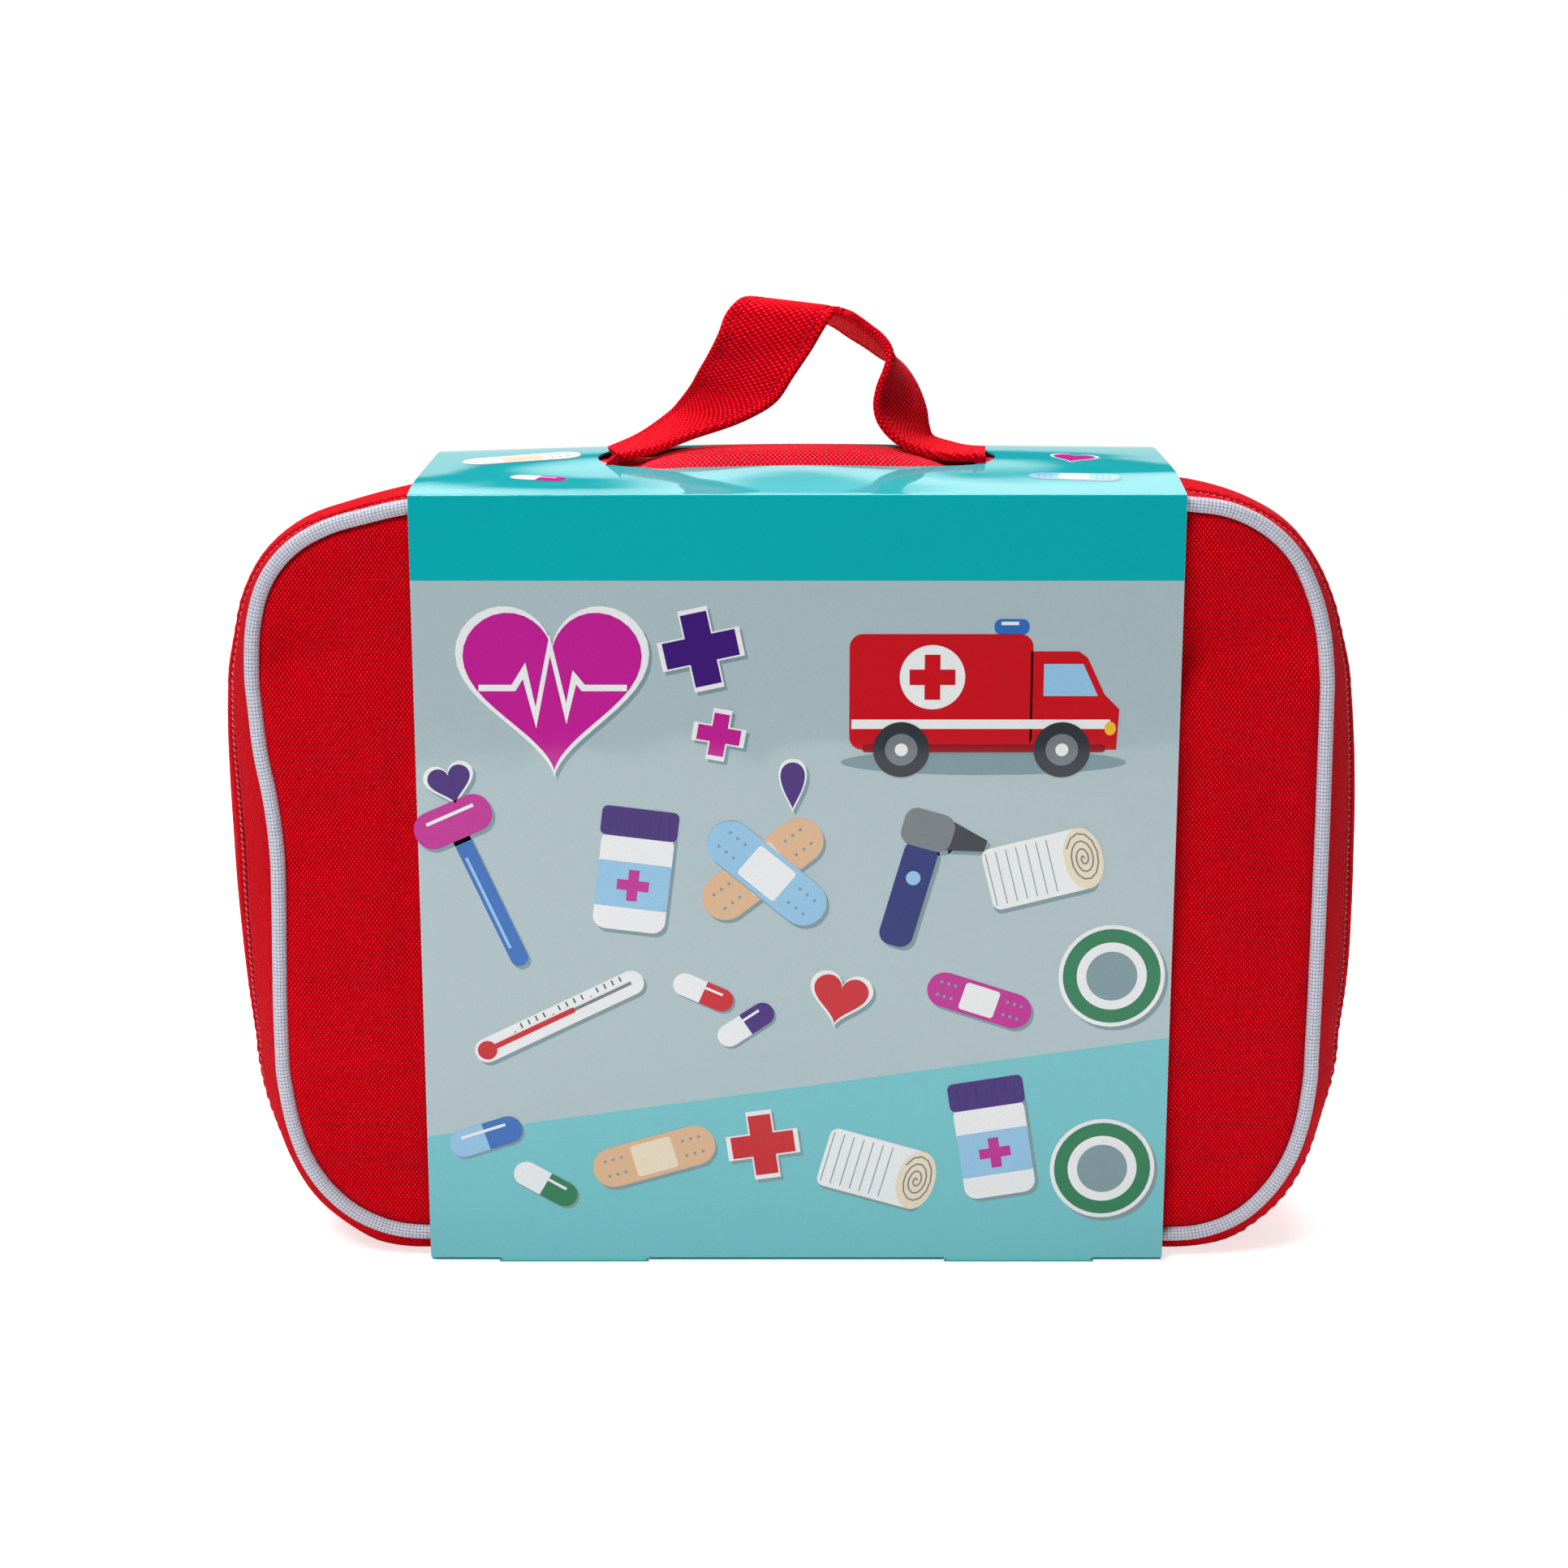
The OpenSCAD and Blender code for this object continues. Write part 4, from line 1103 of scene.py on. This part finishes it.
def plaster(sheet, centre, angle, skin="skin", pad="cream", size=1.0, base=1):
    sheet.fill("shade", box_shape(30 * size, 10 * size, 4.9 * size), (centre[0] + 0.6, centre[1] - 0.8), angle, base)
    sheet.fill(skin, box_shape(30 * size, 10 * size, 4.9 * size), centre, angle, base + 1)
    sheet.fill(pad, box_shape(10 * size, 8 * size, 0.8), centre, angle, base + 2)
    for side in (-1, 1):
        for k in range(3):
            for row in (-1, 1):
                at = turn([(side * (7.6 + 2 * k) * size, row * 1.9 * size)], centre, angle)[0]
                sheet.fill("shade", disc_shape(0.8, steps=10), at, 0, base + 2, 1)


def capsule(sheet, centre, angle, first, second, size=1.0):
    long, wide = 15 * size, 5.6 * size
    sheet.fill("shade", box_shape(long, wide, wide * 0.49), (centre[0] + 0.5, centre[1] - 0.6), angle, 1)
    sheet.fill(first, box_shape(long, wide, wide * 0.49), centre, angle, 2)
    half = [(x, y) for x, y in box_shape(long, wide, wide * 0.49) if x >= 0]
    cap = [(0, wide / 2)] + sorted([p for p in half if p[1] > 0], key=lambda p: p[0]) + \
        sorted([p for p in half if p[1] <= 0], key=lambda p: -p[0]) + [(0, -wide / 2)]
    middle = np.mean(cap, axis=0)
    sheet.fill(second, np.array(cap) - middle, turn([middle], centre, angle)[0], angle, 3)
    sheet.line("white", [(-long * 0.32, wide * 0.22), (long * 0.3, wide * 0.22)], 0.6 * size, centre, angle, 4)


def van(sheet, centre):
    """A toy ambulance from the side."""
    x, z = centre
    sheet.fill("shade", disc_shape(66, 6), (x + 1, z - 15.5), 0, 1)
    sheet.fill("red", box_shape(42, 27, 3), (x - 9, z + 1), 0, 2)
    cab = [(0, -12.5), (20, -12.5), (20.5, -3), (17, 0.5), (13, 9), (11, 10.5), (0, 10.5)]
    cab = np.array(cab) - (10, 0)
    sheet.fill("red", cab, (x + 21.5, z), 0, 2)
    glass = np.array([(0, 0.5), (12.5, 0.5), (9, 8), (0, 8)]) - (5, 3)
    sheet.fill("sky", glass, (x + 19.5, z + 2.6), 0, 3)
    sheet.line("white", [(-29.5, 0), (30, 0)], 2.2, (x, z - 6.5), 0, 3)
    sheet.fill("white", disc_shape(15), (x - 11, z + 4.5), 0, 4)
    sheet.fill("red", cross_shape(10.5, 3.6), (x - 11, z + 4.5), 0, 5)
    sheet.fill("deep_red", box_shape(56, 1.8, 0.8), (x + 1, z - 12.2), 0, 4)
    sheet.fill("blue", box_shape(8, 3.6, 1.6), (x + 7, z + 16.2), 0, 2)
    sheet.line("white", [(-2.4, 0), (1.6, 0)], 0.8, (x + 7, z + 17), 0, 3)
    sheet.fill("gold", disc_shape(2.6, 3.2), (x + 30, z - 7.5), 0, 4)
    for wheel in (-18, 19):
        sheet.fill("dark", disc_shape(13), (x + wheel, z - 12.5), 0, 5)
        sheet.fill("grey", disc_shape(7.5), (x + wheel, z - 12.5), 0, 6)
        sheet.fill("white", disc_shape(3), (x + wheel, z - 12.5), 0, 7)


def jar(sheet, centre, angle):
    for ink, shape, at, layer in (
        ("shade", box_shape(17, 26, 3), (0.8, -0.9), 1), ("white", box_shape(17, 24, 3), (0, -1), 2),
        ("violet", box_shape(18, 7, 1.4), (0, 13), 3), ("sky", box_shape(17, 11, 0.4), (0, -2), 3),
        ("magenta", cross_shape(7.5, 2.5), (0, -2), 4),
    ):
        sheet.fill(ink, shape, turn([at], centre, angle)[0], angle, layer)
    for k in range(-3, 4):
        sheet.line("navy", [(k * 2.3, -2.4), (k * 2.3, 2.4)], 0.4, turn([(0, 13)], centre, angle)[0], angle, 4)


def glass_thermometer(sheet, centre, angle):
    sheet.fill("shade", box_shape(44, 6, 2.9), (centre[0] + 0.7, centre[1] - 0.8), angle, 1)
    sheet.fill("white", box_shape(44, 6, 2.9), centre, angle, 2)
    sheet.fill("red", disc_shape(4.6), turn([(-19, 0)], centre, angle)[0], angle, 4)
    sheet.line("red", [(-19, 0), (4, 0)], 1.3, centre, angle, 3)
    sheet.line("grey", [(4, 0), (19, 0)], 0.8, centre, angle, 3)
    for k in range(15):
        sheet.line("dark", [(-11 + 2 * k, 1.3), (-11 + 2 * k, 2.6 if k % 5 else 1.0)], 0.35, centre, angle, 3)


def hammer(sheet, centre, angle):
    for dx, dz, ink, layer in ((0.7, -0.8, "shade", 1), (0, 0, "blue", 2)):
        sheet.fill(ink, box_shape(4.2, 38, 2), (centre[0] + dx, centre[1] + dz), angle, layer)
        head = turn([(0, 19)], centre, angle)[0]
        sheet.fill("shade" if layer == 1 else "magenta", box_shape(19, 9, 4.2), (head[0] + dx, head[1] + dz), angle,
                   layer + 1)
    sheet.line("sky", [(-0.9, -14), (-0.9, 10)], 0.7, centre, angle, 3)
    sheet.line("white", [(-6, 1.8), (6, 1.8)], 0.8, turn([(0, 19)], centre, angle)[0], angle, 4)


def gauze_roll(sheet, centre, angle):
    sheet.fill("shade", box_shape(25, 15, 2), (centre[0] + 0.8, centre[1] - 0.9), angle, 1)
    sheet.fill("white", box_shape(24, 15, 2), centre, angle, 2)
    for k in range(7):
        sheet.line("shade", [(-11 + 2.4 * k, -6.4), (-11 + 2.4 * k, 6.4)], 0.25, centre, angle, 3)
    end = turn([(11, 0)], centre, angle)[0]
    sheet.fill("cream", disc_shape(9, 15), end, angle, 4)
    spiral = [(0.9 * k / 6 * math.cos(k * 0.5) * 0.6, 0.9 * k / 6 * math.sin(k * 0.5)) for k in range(44)]
    sheet.line("grey", spiral, 0.35, end, angle, 5)


def tape_reel(sheet, centre):
    sheet.fill("shade", disc_shape(25), (centre[0] + 0.8, centre[1] - 0.9), 0, 1)
    for size, ink, layer in ((25, "white", 2), (23, "green", 3), (16.5, "white", 4), (12, "shade", 5)):
        sheet.fill(ink, disc_shape(size), centre, 0, layer)


def scope(sheet, centre, angle):
    """A doctor's ear lamp."""
    for dx, dz, low in ((0.8, -0.9, True), (0, 0, False)):
        at = (centre[0] + dx, centre[1] + dz)
        sheet.fill("shade" if low else "navy", box_shape(8, 26, 3), at, angle, 1 if low else 2)
        sheet.fill("shade" if low else "grey", box_shape(12, 9, 3), turn([(0, 16)], at, angle)[0], angle, 1 if low else 3)
        nose = [(0, 3.6), (9, 1.4), (9, -1.4), (0, -3.6)]
        sheet.fill("shade" if low else "dark", np.array(nose) - (4, 0), turn([(9, 16)], at, angle)[0], angle,
                   1 if low else 2)
    sheet.fill("sky", disc_shape(3.4), turn([(0, 4)], centre, angle)[0], angle, 3)


def pulse(sheet, centre):
    haloed(sheet, heart_shape, 41, "magenta", centre, 0, 3.4)
    beat = [(-17, 0), (-9, 0), (-6.5, 4), (-4, -7), (-0.5, 10), (3, -6), (5, 2.5), (7, 0), (17, 0)]
    sheet.line("white", beat, 1.5, (centre[0], centre[1] + 1), 0, 4)


front = Sheet("front", "front_card", front_place)
arch = Sheet("top", "shell", top_place)
pulse(front, (-56, 140))
haloed(front, lambda s: cross_shape(s, s * 0.36), 17, "violet", (-22, 150), 12)
haloed(front, lambda s: cross_shape(s, s * 0.36), 10, "magenta", (-18, 130), -10)
haloed(front, heart_shape, 10, "violet", (-80, 118), 14, 1.8)
van(front, (42, 139))
haloed(front, drop_shape, 11, "violet", (-1, 118), 0, 1.8)
hammer(front, (-72, 92), 24)
jar(front, (-38, 96), -7)
plaster(front, (-8, 98), 38, size=1.1)
plaster(front, (-7, 97), -40, "sky", "white", 1.1, 4)
scope(front, (26, 92), -16)
gauze_roll(front, (56, 98), 14)
tape_reel(front, (74, 72))
glass_thermometer(front, (-56, 62), 26)
capsule(front, (-22, 68), -24, "white", "red")
capsule(front, (-12, 60), 34, "white", "violet")
haloed(front, heart_shape, 13, "red", (10, 66), -12, 2.0)
plaster(front, (43, 66), -18, "magenta", "white", 0.85)
capsule(front, (-74, 32), 18, "sky", "blue", 1.2)
capsule(front, (-60, 20), -30, "white", "green", 1.1)
plaster(front, (-34, 27), 16, size=1.0)
haloed(front, lambda s: cross_shape(s, s * 0.36), 15, "red", (-8, 30), 8)
gauze_roll(front, (18, 24), -16)
jar(front, (47, 30), 9)
tape_reel(front, (73, 24))
plaster(arch, (-66, 6), 12, "white", "cream", 0.95)
capsule(arch, (-60, -18), -16, "white", "magenta", 0.9)
haloed(arch, heart_shape, 10, "magenta", (66, 2), -14, 1.8)
plaster(arch, (64, -20), -10, "sky", "white", 0.7)

for (name, body, ink), (verts, faces) in prints.items():
    uv = [verts[k][:2] if name == "top" else (verts[k][0], verts[k][2]) for face in faces for k in face]
    piece = finish_mesh(f"{name}_print_{ink}", verts, faces, uv, smooth=False)
    stuff = bpy.data.materials.get("ink_" + ink) or grainy("ink_" + ink, linear(*INKS[ink]), 0.05, 1500, 0.01 * MM,
                                                          0.42, Specular_IOR_Level=0.0, Coat_Weight=0.8,
                                                          Coat_Roughness=0.05)
    dress(piece, stuff, body)

# Floor, light and camera


def floor():
    mesh = bpy.data.meshes.new("floor")
    mesh.from_pydata([(x * FLOOR_REACH, y * FLOOR_REACH, 0) for x, y in ((-1, -1), (1, -1), (1, 1), (-1, 1))], [],
                     [(0, 1, 2, 3)])
    piece = bpy.data.objects.new("floor", mesh)
    bpy.context.scene.collection.objects.link(piece)
    look = Look("pale_floor")
    shade = look.ramp(look.noise(8, 2), [(0.3, (0.93, 0.93, 0.94)), (0.7, (0.96, 0.96, 0.97))])
    look.shader.inputs["Emission Color"].default_value = (1, 1, 1, 1)
    rays = look.node("ShaderNodeLightPath")
    glow = look.math("MULTIPLY_ADD", rays.outputs["Is Camera Ray"], FLOOR_SEEN - FLOOR_GLOW, FLOOR_GLOW)
    look.link(glow, look.shader.inputs["Emission Strength"])
    piece.data.materials.append(look.finish(shade, 0.9))


def area_light(name, place, target, size, power):
    data = bpy.data.lights.new(name, "AREA")
    data.shape = "RECTANGLE"
    data.size, data.size_y = size
    data.energy = power
    lamp = bpy.data.objects.new(name, data)
    lamp.location = place
    lamp.rotation_euler = (Vector(target) - Vector(place)).to_track_quat("-Z", "Y").to_euler()
    bpy.context.scene.collection.objects.link(lamp)


ROOM_FRONT = 0.08
FLOOR_REACH = 0.6
FLOOR_GLOW = 0.2
FLOOR_SEEN = 0.7
# The white wall behind the object by height: the sine of the angle above the floor and the brightness
ROOM_WALL = [(0.0, 0.8), (0.19, 0.7), (0.215, 0.04), (0.265, 0.04), (0.3, 0.8), (0.38, 1.6), (0.43, 1.6),
             (0.48, 0.65), (0.56, 0.6), (0.8, 0.5), (1.0, 0.4)]


def light():
    world = bpy.data.worlds.new("white_room")
    world.use_nodes = True
    tree = world.node_tree
    back = tree.nodes["Background"]
    # A studio: bright paper behind the object, a dimmer room in front, and white where the camera looks
    place = tree.nodes.new("ShaderNodeTexCoord")
    split = tree.nodes.new("ShaderNodeSeparateXYZ")
    tree.links.new(place.outputs["Generated"], split.inputs[0])
    ramp = tree.nodes.new("ShaderNodeMapRange")
    ramp.interpolation_type = "SMOOTHSTEP"
    for socket, value in zip(ramp.inputs[1:5], (0.1, 0.85, ROOM_FRONT, 1.0)):
        socket.default_value = value
    tree.links.new(split.outputs[1], ramp.inputs[0])
    wall = tree.nodes.new("ShaderNodeFloatCurve")
    points = wall.mapping.curves[0].points
    while len(points) < len(ROOM_WALL):
        points.new(0.5, 0.5)
    for point, (height, bright) in zip(points, ROOM_WALL):
        point.location = (height, bright / 2)
        point.handle_type = "VECTOR"
    wall.mapping.update()
    tree.links.new(split.outputs[2], wall.inputs["Value"])
    room = tree.nodes.new("ShaderNodeMath")
    room.operation = "MULTIPLY"
    tree.links.new(ramp.outputs[0], room.inputs[0])
    tree.links.new(wall.outputs[0], room.inputs[1])
    twice = tree.nodes.new("ShaderNodeMath")
    twice.operation = "MULTIPLY"
    tree.links.new(room.outputs[0], twice.inputs[0])
    twice.inputs[1].default_value = 2.0
    rays = tree.nodes.new("ShaderNodeLightPath")
    pick = tree.nodes.new("ShaderNodeMath")
    pick.operation = "MAXIMUM"
    tree.links.new(twice.outputs[0], pick.inputs[0])
    tree.links.new(rays.outputs["Is Camera Ray"], pick.inputs[1])
    back.inputs[0].default_value = (1, 1, 1, 1)
    tree.links.new(pick.outputs[0], back.inputs[1])
    bpy.context.scene.world = world
    aim = (0, 0, 0.09)
    area_light("key_light", (-0.45, -0.62, 1.25), aim, (0.5, 0.5), 13.5)
    area_light("fill_light", (1.0, -1.2, 0.5), aim, (0.8, 0.8), 0.4)
    area_light("top_light", (0.0, 0.4, 1.2), aim, (1.0, 0.8), 13)


def camera():
    data = bpy.data.cameras.new("camera")
    data.sensor_width = SENSOR
    data.lens = FOCAL_PX * SENSOR / FRAME_PX
    data.clip_start, data.clip_end = 0.01, 20
    piece = bpy.data.objects.new("camera", data)
    piece.location = CAMERA_AT
    piece.rotation_euler = (math.pi / 2 - CAMERA_PITCH, 0, 0)
    bpy.context.scene.collection.objects.link(piece)
    bpy.context.scene.camera = piece
    bpy.context.scene.view_settings.view_transform = "Standard"


floor()
light()
camera()
